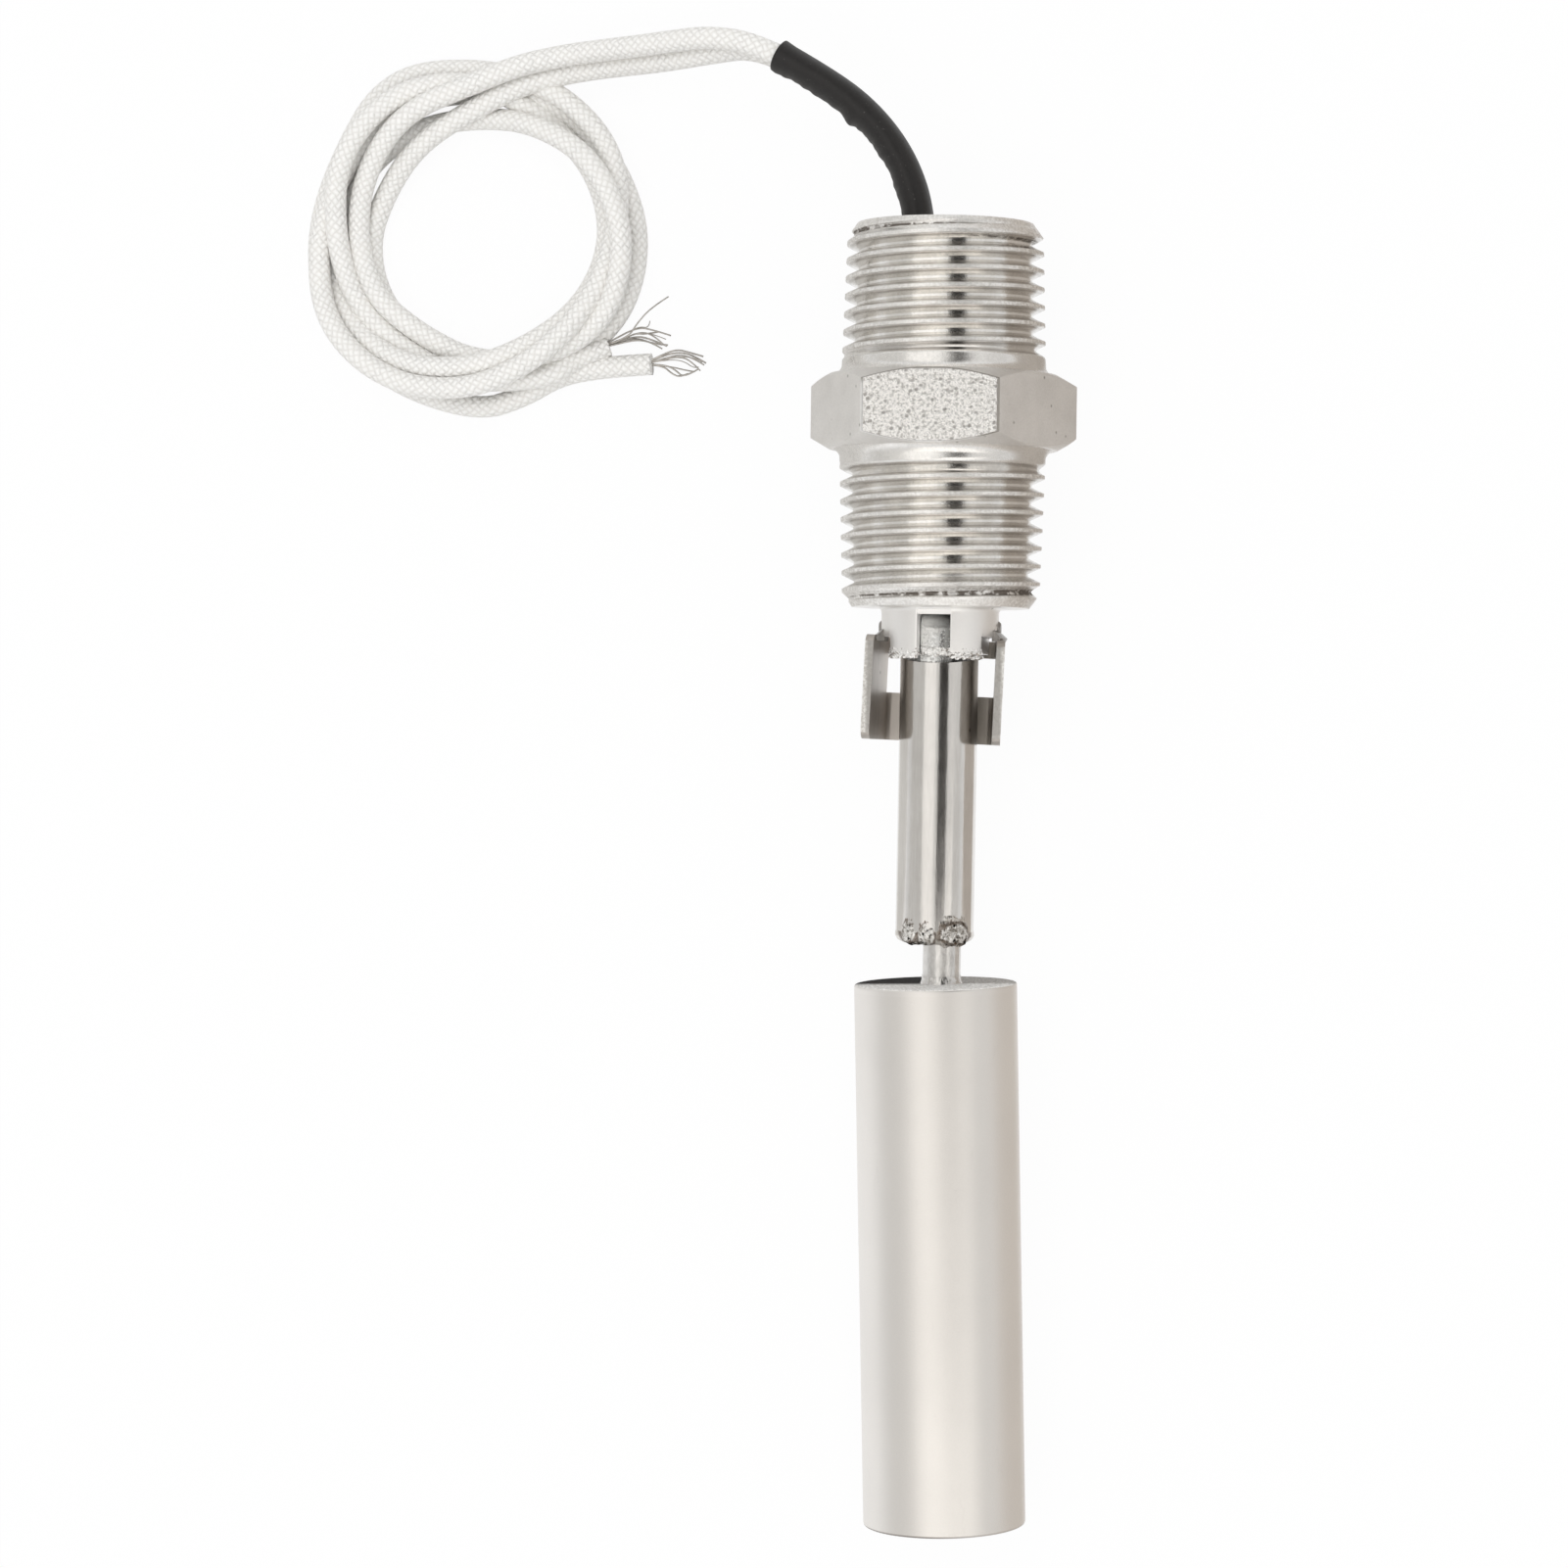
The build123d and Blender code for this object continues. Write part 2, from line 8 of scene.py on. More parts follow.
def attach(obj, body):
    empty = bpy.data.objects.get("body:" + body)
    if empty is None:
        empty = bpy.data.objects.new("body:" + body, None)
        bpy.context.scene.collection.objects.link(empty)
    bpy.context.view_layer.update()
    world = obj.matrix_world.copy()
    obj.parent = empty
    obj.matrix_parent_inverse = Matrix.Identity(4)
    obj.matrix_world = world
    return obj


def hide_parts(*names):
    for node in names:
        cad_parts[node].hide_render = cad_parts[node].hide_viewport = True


# Side mount float switch, dressed on its CAD frame.
# Metres and degrees. X runs along the body towards the float, Z is up.
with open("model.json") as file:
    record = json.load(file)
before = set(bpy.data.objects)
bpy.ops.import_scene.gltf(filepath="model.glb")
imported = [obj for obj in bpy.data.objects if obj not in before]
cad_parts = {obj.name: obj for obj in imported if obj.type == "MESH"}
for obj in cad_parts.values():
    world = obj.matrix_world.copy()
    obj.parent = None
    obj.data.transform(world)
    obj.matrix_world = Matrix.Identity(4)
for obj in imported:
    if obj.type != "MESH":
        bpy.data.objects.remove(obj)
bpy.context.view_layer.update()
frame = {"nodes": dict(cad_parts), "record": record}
bpy.ops.object.select_all(action="DESELECT")

MM = 0.001

# Sizes of the solids that the pieces here are fitted to
thread_pitch = 25.4 / 14 * MM
thread_taper = 1 / 16
thread_depth = 1.25 * MM
crest_flat = 0.34 * MM
root_flat = 0.24 * MM
process_length = 16.1 * MM
process_crest_radius = 10.55 * MM
process_neck = 1.3 * MM
process_first_crest = 3.2 * MM
conduit_length = 15.4 * MM
conduit_crest_radius = 10.45 * MM
conduit_neck = 1.5 * MM
conduit_first_crest = 2.85 * MM
end_cone = 1.35 * MM
end_cone_slope = 0.72
hex_flats = 23.8 * MM
hex_length = 7.6 * MM
cable_bore_radius = 5.0 * MM
potting_recess = 1.6 * MM
boss_radius = 6.0 * MM
boss_end = 20.8 * MM
slot_floor = 16.4 * MM
slot_width = 3.4 * MM
boss_flats = 9.3 * MM
boss_flat_length = 1.7 * MM
pin_x = 18.2 * MM
bracket_offset = -0.13 * MM
arm_droop = 2.22
arm_yaw = -0.5
tube_radius = 4.0 * MM
tube_end = 49.3 * MM
arm_end = 50.4 * MM
rod_radius = 1.95 * MM
rod_offset = 0.8 * MM
float_start = 54.55 * MM
float_offset = 0.2 * MM
float_lean = 2.0
float_length = 55.75 * MM
float_radius = 8.35 * MM
lead_radius = 1.15 * MM
lead_height = 1.17 * MM
floor_z = -hex_flats / 2
body_end = -(hex_length + conduit_length)

# Shapes that only this model has
thread_run_out = 0.7 * thread_pitch
thread_tear = 0.03 * MM
neck_flare = 0.6 * MM
neck_flare_length = 0.9 * MM
end_turn = 2.2 * MM
end_turn_loss = 0.45
hex_corner_round = 0.35 * MM
hex_edge_round = 0.18 * MM
hex_chamfer_inset = 0.25 * MM
chamfer_angle = 30
past = 0.02
card_height = 0.6

# Proud patches of the tube's end weld: angle from the top and half width in degrees, and share of full height
weld_patches = ((38, 28, 1.0), (-36, 18, 0.6), (-6, 14, 0.5))
# Their fused lobes: angle from the top, then place along the tube, half width and half length in millimetres
weld_lobes = ((38, 49.2, 1.95, 1.2), (-36, 49.1, 1.15, 1.25), (-6, 49.4, 1.0, 1.5))


# Camera, floor and light
def camera():
    """Looks down on the switch from 8.5 degrees on its +Y side."""
    bpy.ops.object.camera_add(location=(0.030322, 0.054479, 0.470893))
    eye = bpy.context.object
    eye.rotation_euler = [math.radians(a) for a in (-0.3644, 8.5059, 90.8089)]
    eye.data.lens = 106.47
    eye.data.sensor_width = 36.0
    eye.data.clip_end = 20.0
    bpy.context.scene.camera = eye


def softbox():
    """A wide, soft lamp straight above. Reflections don't show it."""
    bpy.ops.object.light_add(type="AREA", location=(0.03, -0.05, 0.75))
    lamp = bpy.context.object
    lamp.name = "softbox_top"
    lamp.data.shape = "RECTANGLE"
    lamp.data.size = 1.1
    lamp.data.size_y = 0.6
    lamp.data.energy = 2.2
    lamp.visible_glossy = False


def light_card(name, corners, colour):
    """A studio card that only reflections see."""
    bpy.ops.mesh.primitive_plane_add(size=1)
    card = bpy.context.object
    card.name = name
    for vertex, corner in zip(card.data.vertices, corners):
        vertex.co = corner
    made = bpy.data.materials.new(name)
    made.use_nodes = True
    nodes = made.node_tree.nodes
    nodes.clear()
    glow = nodes.new("ShaderNodeEmission")
    glow.inputs["Color"].default_value = (*colour, 1)
    out = nodes.new("ShaderNodeOutputMaterial")
    made.node_tree.links.new(glow.outputs[0], out.inputs["Surface"])
    card.data.materials.append(made)
    card.visible_camera = False
    card.visible_shadow = False
    card.visible_diffuse = False


def overhead(first, last, start, end):
    """Corners of a card above the object, between two angles from upright towards +Y."""
    sides = [card_height * math.tan(math.radians(a)) for a in (first, last)]
    return [(x, y, card_height) for y in sides for x in (start, end)]


def seen_by(tree, kind):
    """1 on rays from the camera and on rays of that kind, 0 on the others."""
    path = tree.nodes.new("ShaderNodeLightPath")
    return Value(tree, path.outputs["Is Camera Ray"]).math("MAXIMUM", Value(tree, path.outputs[kind])), path


def studio():
    world = bpy.data.worlds.new("studio")
    world.use_nodes = True
    bpy.context.scene.world = world
    tree = world.node_tree
    seen, path = seen_by(tree, "Is Transmission Ray")
    shade = Value(tree, path.outputs["Is Glossy Ray"]) * 0.03 + 0.77
    strength = seen + (1 - seen) * shade
    background = tree.nodes["Background"]
    background.inputs["Color"].default_value = (1, 1, 1, 1)
    tree.links.new(strength.socket, background.inputs["Strength"])

    softbox()
    near, far = (-1.6, 0.13), (0.13, 1.6)
    over_nipple, over_tube = (-1.6, 0.035), (0.035, 0.13)
    for name, first, last, reach, tone in (
        ("left_card", -76, -36, near, (0.64, 0.63, 0.61)),
        ("bright_card", -36, -2, near, (1.10, 1.08, 1.05)),
        ("middle_card", -2, 12, over_nipple, (0.92, 0.91, 0.885)),
        ("dark_card", 12, 34.5, over_nipple, (0.02, 0.018, 0.016)),
        ("tube_middle_card", -2, 7, over_tube, (0.78, 0.77, 0.75)),
        ("tube_dark_card", 7, 34.5, over_tube, (0.02, 0.018, 0.016)),
        ("side_card", 34.5, 76, near, (0.76, 0.75, 0.735)),
        ("far_left_card", -80, -30, far, (0.68, 0.67, 0.655)),
        ("far_card", -30, 56, far, (1.22, 1.19, 1.15)),
        ("far_right_card", 56, 80, far, (0.70, 0.69, 0.675)),
    ):
        light_card(name, overhead(first, last, *reach), tone)
    low = floor_z + 0.05 * MM
    # Painted shade: the two cards on the floor towards +Y stand in for the floor's shade there, as
    # reflections see it.
    for name, span, reach, tone in (
        ("floor_shade_card", (0.013, 0.3), (-0.6, 0.052), (0.52, 0.475, 0.43)),
        ("far_floor_shade_card", (0.013, 0.3), (0.052, 0.7), (0.64, 0.595, 0.55)),
        ("grey_card", (-0.3, -0.013), (-0.6, 0.052), (0.74, 0.73, 0.71)),
    ):
        light_card(name, [(x, y, low) for y in span for x in reach], tone)

    bpy.ops.mesh.primitive_plane_add(size=6, location=(0, 0, floor_z))
    floor = bpy.context.object
    floor.name = "floor"
    made = bpy.data.materials.new("pale_floor")
    made.use_nodes = True
    tree = made.node_tree
    shader = tree.nodes["Principled BSDF"]
    shader.inputs["Base Color"].default_value = (0.92, 0.92, 0.92, 1)
    shader.inputs["Roughness"].default_value = 0.9
    shader.inputs["Specular IOR Level"].default_value = 0.1
    glow = tree.nodes.new("ShaderNodeEmission")
    glow.inputs["Strength"].default_value = 1.0
    seen, _ = seen_by(tree, "Is Glossy Ray")
    mixed = tree.nodes.new("ShaderNodeMixShader")
    tree.links.new((seen * 0.94).socket, mixed.inputs[0])
    tree.links.new(shader.outputs[0], mixed.inputs[1])
    tree.links.new(glow.outputs[0], mixed.inputs[2])
    tree.links.new(mixed.outputs[0], tree.nodes["Material Output"].inputs["Surface"])
    floor.data.materials.append(made)
    bpy.context.scene.view_settings.view_transform = "Standard"


# Shader maths as Python expressions
class Value:
    """A socket of a node tree. An expression on it adds Math nodes."""

    def __init__(self, tree, socket):
        self.tree = tree
        self.socket = socket

    def node(self, kind, settings, inputs, output=0):
        """Add a node: its settings first, then the values or links of its sockets."""
        made = self.tree.nodes.new(kind)
        for name, value in settings.items():
            setattr(made, name, value)
        for name, value in inputs.items():
            if isinstance(value, Value):
                self.tree.links.new(value.socket, made.inputs[name])
            else:
                made.inputs[name].default_value = value
        return Value(self.tree, made.outputs[output])

    def math(self, operation, *others):
        inputs = {0: self}
        inputs.update({i + 1: other for i, other in enumerate(others)})
        return self.node("ShaderNodeMath", {"operation": operation}, inputs)

    def __add__(self, other):
        return self.math("ADD", other)

    __radd__ = __add__

    def __mul__(self, other):
        return self.math("MULTIPLY", other)

    __rmul__ = __mul__

    def __sub__(self, other):
        return self.math("SUBTRACT", other)

    def __rsub__(self, other):
        return self.node("ShaderNodeMath", {"operation": "SUBTRACT"}, {0: other, 1: self})

    def part(self, axis):
        """One of X, Y and Z of a place."""
        return self.node("ShaderNodeSeparateXYZ", {}, {0: self}, output=axis)

    def vector_math(self, operation, other=(0, 0, 0), output=0):
        return self.node("ShaderNodeVectorMath", {"operation": operation}, {0: self, 1: other}, output)

    def scaled(self, x, y, z):
        """A place stretched along each axis, for long or flat marks."""
        return self.vector_math("MULTIPLY", (x, y, z))

    def grain(self, size, detail, rough=0.55):
        """Noise whose marks are about size metres across, from 0 to 1."""
        inputs = {"Vector": self, "Scale": 1 / size, "Detail": detail, "Roughness": rough}
        return self.node("ShaderNodeTexNoise", {}, inputs)

    def pits(self, size):
        """Distance from the nearest of a scatter of points, about 0 to 1."""
        return self.node("ShaderNodeTexVoronoi", {}, {"Vector": self, "Scale": 1 / size})

    def step(self, low, high):
        """0 below low, 1 above high, and an even rise between."""
        inputs = {"Value": self, "From Min": low, "From Max": high}
        return self.node("ShaderNodeMapRange", {"clamp": True}, inputs)

    def between(self, dark, light):
        """The colour from dark to light that a number from 0 to 1 picks."""
        return self.node(
            "ShaderNodeMix", {"data_type": "RGBA"}, {0: self, 6: colour(dark), 7: colour(light)}, output=2
        )


def colour(value):
    return value if isinstance(value, Value) else (*value, 1)


def finish(name, look, bump=0.0, **fixed):
    """A material. look takes the place on the piece and gives what varies over the surface."""
    made = bpy.data.materials.new(name)
    made.use_nodes = True
    tree = made.node_tree
    shader = tree.nodes["Principled BSDF"]
    coordinates = tree.nodes.new("ShaderNodeTexCoord")
    place = Value(tree, coordinates.outputs["Object"])
    for socket, value in look(place).items():
        if socket == "Height":
            relief = place.node("ShaderNodeBump", {}, {"Height": value, "Distance": bump, "Strength": 1.0})
            tree.links.new(relief.socket, shader.inputs["Normal"])
        elif isinstance(value, Value):
            tree.links.new(value.socket, shader.inputs[socket])
        else:
            shader.inputs[socket].default_value = value
    for socket, value in fixed.items():
        shader.inputs[socket.replace("_", " ")].default_value = value
    return made


# Finishes of the metal
def cast_steel(place):
    """Cast: the lying flats are coarse and glittering, with a painted highlight along their rim that turns to
    painted shade towards +Y and the far end; the other faces are matte with a few pits, and the slot's floor
    and walls carry a painted highlight.
    """
    height = place.part("Z").math("ABSOLUTE")
    x = place.part("X")
    y = place.part("Y")
    top = hex_flats / 2
    level = height.step(top - 0.1 * MM, top - 0.02 * MM)
    rim = height.step(top - 0.26 * MM, top - 0.2 * MM) * (1 - level)
    coarse = place.grain(0.00036, 3, 0.7)
    fine = place.grain(0.00022, 3, 0.6)
    broad = place.grain(0.003, 3)
    pit = 1 - place.pits(0.0016).step(0.04, 0.13)
    hole = level * (1 - place.pits(0.0009).step(0.14, 0.26))
    tone = (fine * 0.5 + broad * 0.5).step(0.35, 0.65)
    bright = (x - process_length).step(-0.9 * MM, -0.6 * MM)
    cast = tone.between((0.76, 0.745, 0.725), (0.86, 0.845, 0.825))
    matte = (bright * 0.75).between(cast, (0.97, 0.96, 0.945))
    glitter = coarse.step(0.35, 0.53).between((0.52, 0.505, 0.48), (0.94, 0.93, 0.91))
    pitted = (pit * 0.6 + hole * 0.6).between(level.between(matte, glitter), (0.20, 0.18, 0.16))
    # Painted highlight and shade: the rim band of the lying flats is near white, and darker where it lies
    # towards +Y or near the hexagon's far end.
    far = (x * -1 - hex_length).step(-1.8 * MM, -1.2 * MM)
    shaded = y.step(4.5 * MM, 5.5 * MM).math("MAXIMUM", far)
    rim_highlight_and_shade = rim.between(pitted, shaded.between((0.97, 0.96, 0.95), (0.45, 0.43, 0.40)))
    # Painted highlight: the slot's floor and walls are painted near white, with a duller finish.
    beside_slot = (y.math("ABSOLUTE") - slot_width / 2).step(0.01 * MM, 0.06 * MM)
    inner = (1 - beside_slot) * (x - slot_floor).step(-0.2 * MM, -0.1 * MM)
    relief = level * (coarse + fine * 0.4 - hole * 0.4) + (1 - level) * (fine * 0.12 + broad * 0.12)
    return {
        "Base Color": inner.between(rim_highlight_and_shade, (0.99, 0.985, 0.975)),
        "Roughness": 0.46 - level * 0.2 + inner * 0.2,
        "Height": relief - pit * 0.25,
    }


def thread_steel(place):
    """Cut thread: bright, with torn crests and a broken dark brown line in the groove near each end.

    gauge is the height over the crests, below 0 in the grooves. process and conduit are the places along
    each thread, 0 at its end and below 0 before it.
    """
    fine = place.grain(0.0003, 4, 0.7)
    broad = place.grain(0.003, 2)
    out = place.scaled(0, 1, 1).vector_math("LENGTH", output=1)
    x = place.part("X")
    back = x * -1
    untapered = out + x.math("ABSOLUTE") * (thread_taper / 2) - back.step(0, 1 * MM) * (0.14 * MM)
    gauge = untapered - process_crest_radius
    process = x - process_length
    conduit = back + body_end
    cut = x.step(1.6 * MM, 2.0 * MM) + (back - hex_length).step(1.6 * MM, 2.0 * MM)
    ring = process.step(-1.4 * MM, -1.1 * MM) + conduit.step(-1.5 * MM, -1.2 * MM)
    band = process.step(-3.4 * MM, -2.9 * MM) * 0.6
    torn = (cut * gauge.step(-0.25 * MM, -0.13 * MM)).math("MAXIMUM", ring.math("MAXIMUM", band))
    # A broken dark brown line in the groove next to each end ring.
    last = process.step(-2.2 * MM, -2.0 * MM) * (1 - process.step(-1.0 * MM, -0.8 * MM))
    first = conduit.step(-2.2 * MM, -2.0 * MM) * (1 - conduit.step(-0.9 * MM, -0.7 * MM))
    broken = place.grain(0.0009, 3, 0.6).step(0.38, 0.50)
    dark_groove_line = (last + first) * (1 - gauge.step(-0.63 * MM, -0.53 * MM)) * broken * 0.85
    # Painted shade: the flank just under each crest, and the thread's sides towards +Y and -Y, are darkened.
    flank = gauge.step(-0.7 * MM, -0.5 * MM) * (1 - gauge.step(-0.35 * MM, -0.23 * MM))
    shade = cut * flank * (1 - ring) * 0.6
    side = place.part("Y").math("ABSOLUTE").step(4.5 * MM, 10.5 * MM) * 0.38
    worn = (fine * 0.5 + broad * 0.5).step(0.38, 0.6)
    tone = worn.between((0.80, 0.785, 0.76), (0.94, 0.925, 0.90))
    tone_with_painted_shade = (side + (1 - side) * shade).between(tone, (0.40, 0.375, 0.35))
    flake = (torn * fine.step(0.46, 0.6)).between(tone_with_painted_shade, (0.98, 0.97, 0.95))
    return {
        "Base Color": dark_groove_line.between(flake, (0.09, 0.065, 0.045)),
        "Roughness": 0.20 + torn * 0.22 + dark_groove_line * 0.3 + (1 - cut) * 0.1 - worn * 0.05,
        "Height": fine * (0.25 + torn * 1.2) + broad * 0.3,
    }


def tube_steel(place):
    """Drawn tube with faint long draw lines and a warm grey cast."""
    lines = place.scaled(0.1, 1, 1).grain(0.00022, 3, 0.7)
    cloud = place.grain(0.006, 3)
    tone = (lines * 0.4 + cloud * 0.6).step(0.3, 0.7)
    return {
        "Base Color": tone.between((0.66, 0.64, 0.615), (0.80, 0.78, 0.755)),
        "Roughness": 0.12 + tone * 0.04,
        "Height": lines,
    }


def rod_steel(place):
    """Turned rod, grainy, with short rough marks along it."""
    marks = place.scaled(0.3, 1, 1).grain(0.0003, 4, 0.7)
    tone = (marks * 0.6 + place.grain(0.0015, 2) * 0.4).step(0.34, 0.64)
    return {
        "Base Color": tone.between((0.58, 0.565, 0.545), (0.76, 0.745, 0.725)),
        "Roughness": 0.24 - tone * 0.04,
        "Height": marks,
    }


def tongue_steel(place):
    """Gritty tongue, pale towards -Y and dark towards +Y as painted light and painted shadow from the fork's
    cheek, with bright flecks towards the arm.
    """
    grit = place.grain(0.0003, 3, 0.8)
    fleck = grit.step(0.54, 0.62) * (place.part("X") - pin_x).step(-0.6 * MM, 0.6 * MM)
    # Painted light and shadow: pale towards -Y, dark towards +Y where the fork's cheek shades the tongue.
    across = place.part("Y").step(-0.9 * MM, 1.5 * MM) + (grit - 0.5) * 0.5
    grey = across.step(0, 1).between((0.98, 0.985, 0.975), (0.17, 0.17, 0.165))
    return {
        "Base Color": fleck.between(grey, (0.99, 0.985, 0.975)),
        "Roughness": 0.22 + fleck * 0.2,
        "Height": fleck + grit * 0.6,
    }


def burr_steel(place):
    """Torn, bright metal with a few dark gaps."""
    lump = place.grain(0.0004, 3, 0.7)
    bright = lump.step(0.38, 0.5).between((0.36, 0.33, 0.30), (0.99, 0.985, 0.975))
    return {"Base Color": bright, "Roughness": 0.42 - lump * 0.15, "Height": lump}


def float_face(place):
    """The float's near cap: its end face is dull and gritty, with painted reflection and shade that make its
    lower part near black towards -Y and dark grey towards +Y, and its upper part pale; its rim stays lighter
    steel.
    """
    lean = float_way()
    depth = place.vector_math("DOT_PRODUCT", tuple(lean), output=1)
    rim = arm_place(float_start, float_offset, 0).dot(lean)
    inside = 1 - depth.step(rim + 0.03 * MM, rim + 0.12 * MM)
    grit = place.grain(0.0003, 3, 0.7).step(0.4, 0.62)
    # Painted reflection and shade: below its middle the face is darkened, near black towards -Y.
    right = place.part("Y").step(-2.0 * MM, 2.0 * MM)
    upper = place.part("Z").step(-1.6 * MM, 0.8 * MM)
    dark = right.between((0.012, 0.010, 0.008), (0.30, 0.28, 0.26))
    gritty = grit.between((0.62, 0.60, 0.57), (0.99, 0.98, 0.96))
    face = (upper + right * grit * 0.5).math("MINIMUM", 1).between(dark, gritty)
    return {
        "Base Color": inside.between((0.83, 0.805, 0.775), face),
        "Metallic": 1 - inside,
        "Roughness": 0.42 + inside * 0.4,
        "Height": grit * inside,
    }


def float_steel(place):
    """Bead blasted float: very fine grain, faint cloudy marks, and a dark line round its far end."""
    lean = float_way()
    end = arm_place(float_start, float_offset, 0) + lean * float_length
    depth = place.vector_math("DOT_PRODUCT", tuple(lean), output=1)
    from_end = place.vector_math("DISTANCE", tuple(end), output=1)
    last = end.dot(lean)
    edge = from_end.step(float_radius - 0.5 * MM, float_radius - 0.4 * MM)
    line = depth.step(last - 0.24 * MM, last - 0.16 * MM) * edge
    line = line * (0.9 - place.part("Y").step(1 * MM, 6 * MM) * 0.5)
    fine = place.grain(0.00018, 3, 0.6)
    cloud = place.grain(0.012, 3)
    mark = place.scaled(0.3, 1, 1).grain(0.0016, 4, 0.7).step(0.62, 0.74)
    tone = (fine * 0.35 + cloud * 0.65).step(0.3, 0.7)
    base = tone.between((0.80, 0.775, 0.745), (0.85, 0.825, 0.79))
    marked = (mark * 0.12).between(base, (0.60, 0.58, 0.55))
    return {
        "Base Color": line.between(marked, (0.20, 0.17, 0.15)),
        "Roughness": 0.42 - tone * 0.04,
        "Height": fine,
    }


def sheet_steel(place):
    """Folded sheet, brown grey and smeared by heat, with bright torn edges along the top of its sides."""
    rub = place.scaled(0.25, 1, 1).grain(0.0009, 4, 0.6)
    cloud = place.grain(0.004, 3)
    tone = (rub * 0.5 + cloud * 0.5).step(0.34, 0.66)
    spot = 1 - place.pits(0.0035).step(0.03, 0.07)
    height = place.part("Z") + place.part("Y") * 0.03
    edge = height.step(3.82 * MM, 3.9 * MM)
    outer = (place.part("Y") - bracket_offset).math("ABSOLUTE").step(6.7 * MM, 7.0 * MM)
    base = tone.between((0.38, 0.35, 0.32), (0.54, 0.51, 0.48))
    # Painted light and shade: the bracket's lower part is paler towards -Y and darker towards +Y.
    web_lit_and_shaded = place.part("Y").step(-3.0 * MM, 3.0 * MM).between((0.62, 0.575, 0.53), (0.39, 0.36, 0.325))
    low = height.step(-6.0 * MM, 0.0 * MM).between(web_lit_and_shaded, base)
    torn = place.grain(0.0003, 3, 0.7).step(0.4, 0.6).between((0.62, 0.60, 0.57), (0.90, 0.89, 0.87))
    sheared = (outer * 0.8 + 0.2).between((0.40, 0.385, 0.365), torn)
    return {
        "Base Color": edge.between(spot.between(low, (0.06, 0.05, 0.045)), sheared),
        "Roughness": 0.34 + rub * 0.14 + edge * 0.1,
        "Height": rub * (1 - edge) + edge * place.grain(0.0003, 3, 0.7) * 3,
    }


def weld_steel(place):
    """Tube end: clean steel with three fused lobes of bright shards and black specks, each ringed brown."""
    wave = place.grain(0.0009, 3, 0.6) * 0.6 - 0.3
    nearest = None
    for turn, along_tube, half_width, half_length in weld_lobes:
        angle = math.radians(turn)
        centre = arm_place(along_tube * MM, tube_radius * math.sin(angle), tube_radius * math.cos(angle))
        away = place.vector_math("SUBTRACT", tuple(centre))
        away = away.scaled(1 / half_length / MM, 1 / half_width / MM, 0.4 / MM)
        gap = away.vector_math("LENGTH", output=1) + wave
        nearest = nearest.math("MINIMUM", gap) if nearest else gap
    lobe = 1 - nearest.step(0.9, 1.05)
    edge = nearest.step(0.72, 0.86) * (1 - nearest.step(1.0, 1.2))
    lump = place.grain(0.00042, 4, 0.75)
    shards = lump.step(0.40, 0.56).between((0.24, 0.215, 0.185), (0.98, 0.965, 0.94))
    speck = place.grain(0.0005, 2, 0.6).step(0.35, 0.40)
    fused = speck.between((0.02, 0.017, 0.014), shards)
    clean = place.grain(0.0015, 3).between((0.62, 0.59, 0.55), (0.78, 0.755, 0.725))
    return {
        "Base Color": (edge * 0.75).between(lobe.between(clean, fused), (0.13, 0.09, 0.06)),
        "Roughness": 0.24 + lobe * (0.2 - lump * 0.25),
        "Height": lump * (0.12 + lobe * 0.9),
    }


# Finishes of the leads and of what is sealed inside
def braid(place):
    """Varnished glass-fibre braid: two families of flat strands that pass over and under each other."""
    route = place.node("ShaderNodeTexCoord", {}, {}, output="UV")
    length = route.part("X")
    around = route.part("Y")
    drift = place.grain(0.0016, 2) * 0.7
    strands, slant = 8, 1.1
    right = around * strands + length * slant + drift
    left = around * strands - length * slant + drift
    over = (right.math("FLOOR") + left.math("FLOOR")).math("MODULO", 2.0).math("ABSOLUTE")
    hump_right = (right.math("FRACT") * math.pi).math("SINE")
    hump_left = (left.math("FRACT") * math.pi).math("SINE")
    upper = over * (hump_right * (0.55 + hump_left * 0.45))
    bead = upper + (1 - over) * (hump_left * (0.55 + hump_right * 0.45))
    fibre = place.grain(0.0002, 3)
    wax = place.grain(0.0022, 3, 0.6).step(0.35, 0.65)
    # The weave's over and under pattern is the braid's own; the brighter bead tops and darker dips are
    # painted highlight and painted shade.
    tone = (bead * 0.75 + fibre * 0.3 + wax * 0.2).step(0.1, 0.95)
    return {
        "Base Color": tone.between((0.79, 0.77, 0.73), (0.955, 0.945, 0.92)),
        "Roughness": 0.55 - bead * 0.2,
        "Height": bead * (0.45 + wax * 0.55) + fibre * 0.25,
    }


def shrink_black(place):
    dull = place.grain(0.0008, 4, 0.6)
    dust = place.grain(0.00025, 2, 0.7).step(0.68, 0.76)
    base = dull.between((0.008, 0.007, 0.007), (0.018, 0.016, 0.015))
    dusty = (dust * 0.5).between(base, (0.20, 0.19, 0.18))
    return {"Base Color": dusty, "Roughness": 0.40 + dull * 0.2, "Height": dull}


def mottled(size, dark, light, rough, change=0.0, detail=3, stretch=(1, 1, 1)):
    """A plain look whose one grain sets the colour and, by change, the roughness."""

    def look(place):
        mark = (place if stretch == (1, 1, 1) else place.scaled(*stretch)).grain(size, detail)
        rubbed = rough + mark * change if change else rough
        return {"Base Color": mark.between(dark, light), "Roughness": rubbed, "Height": mark}

    return look


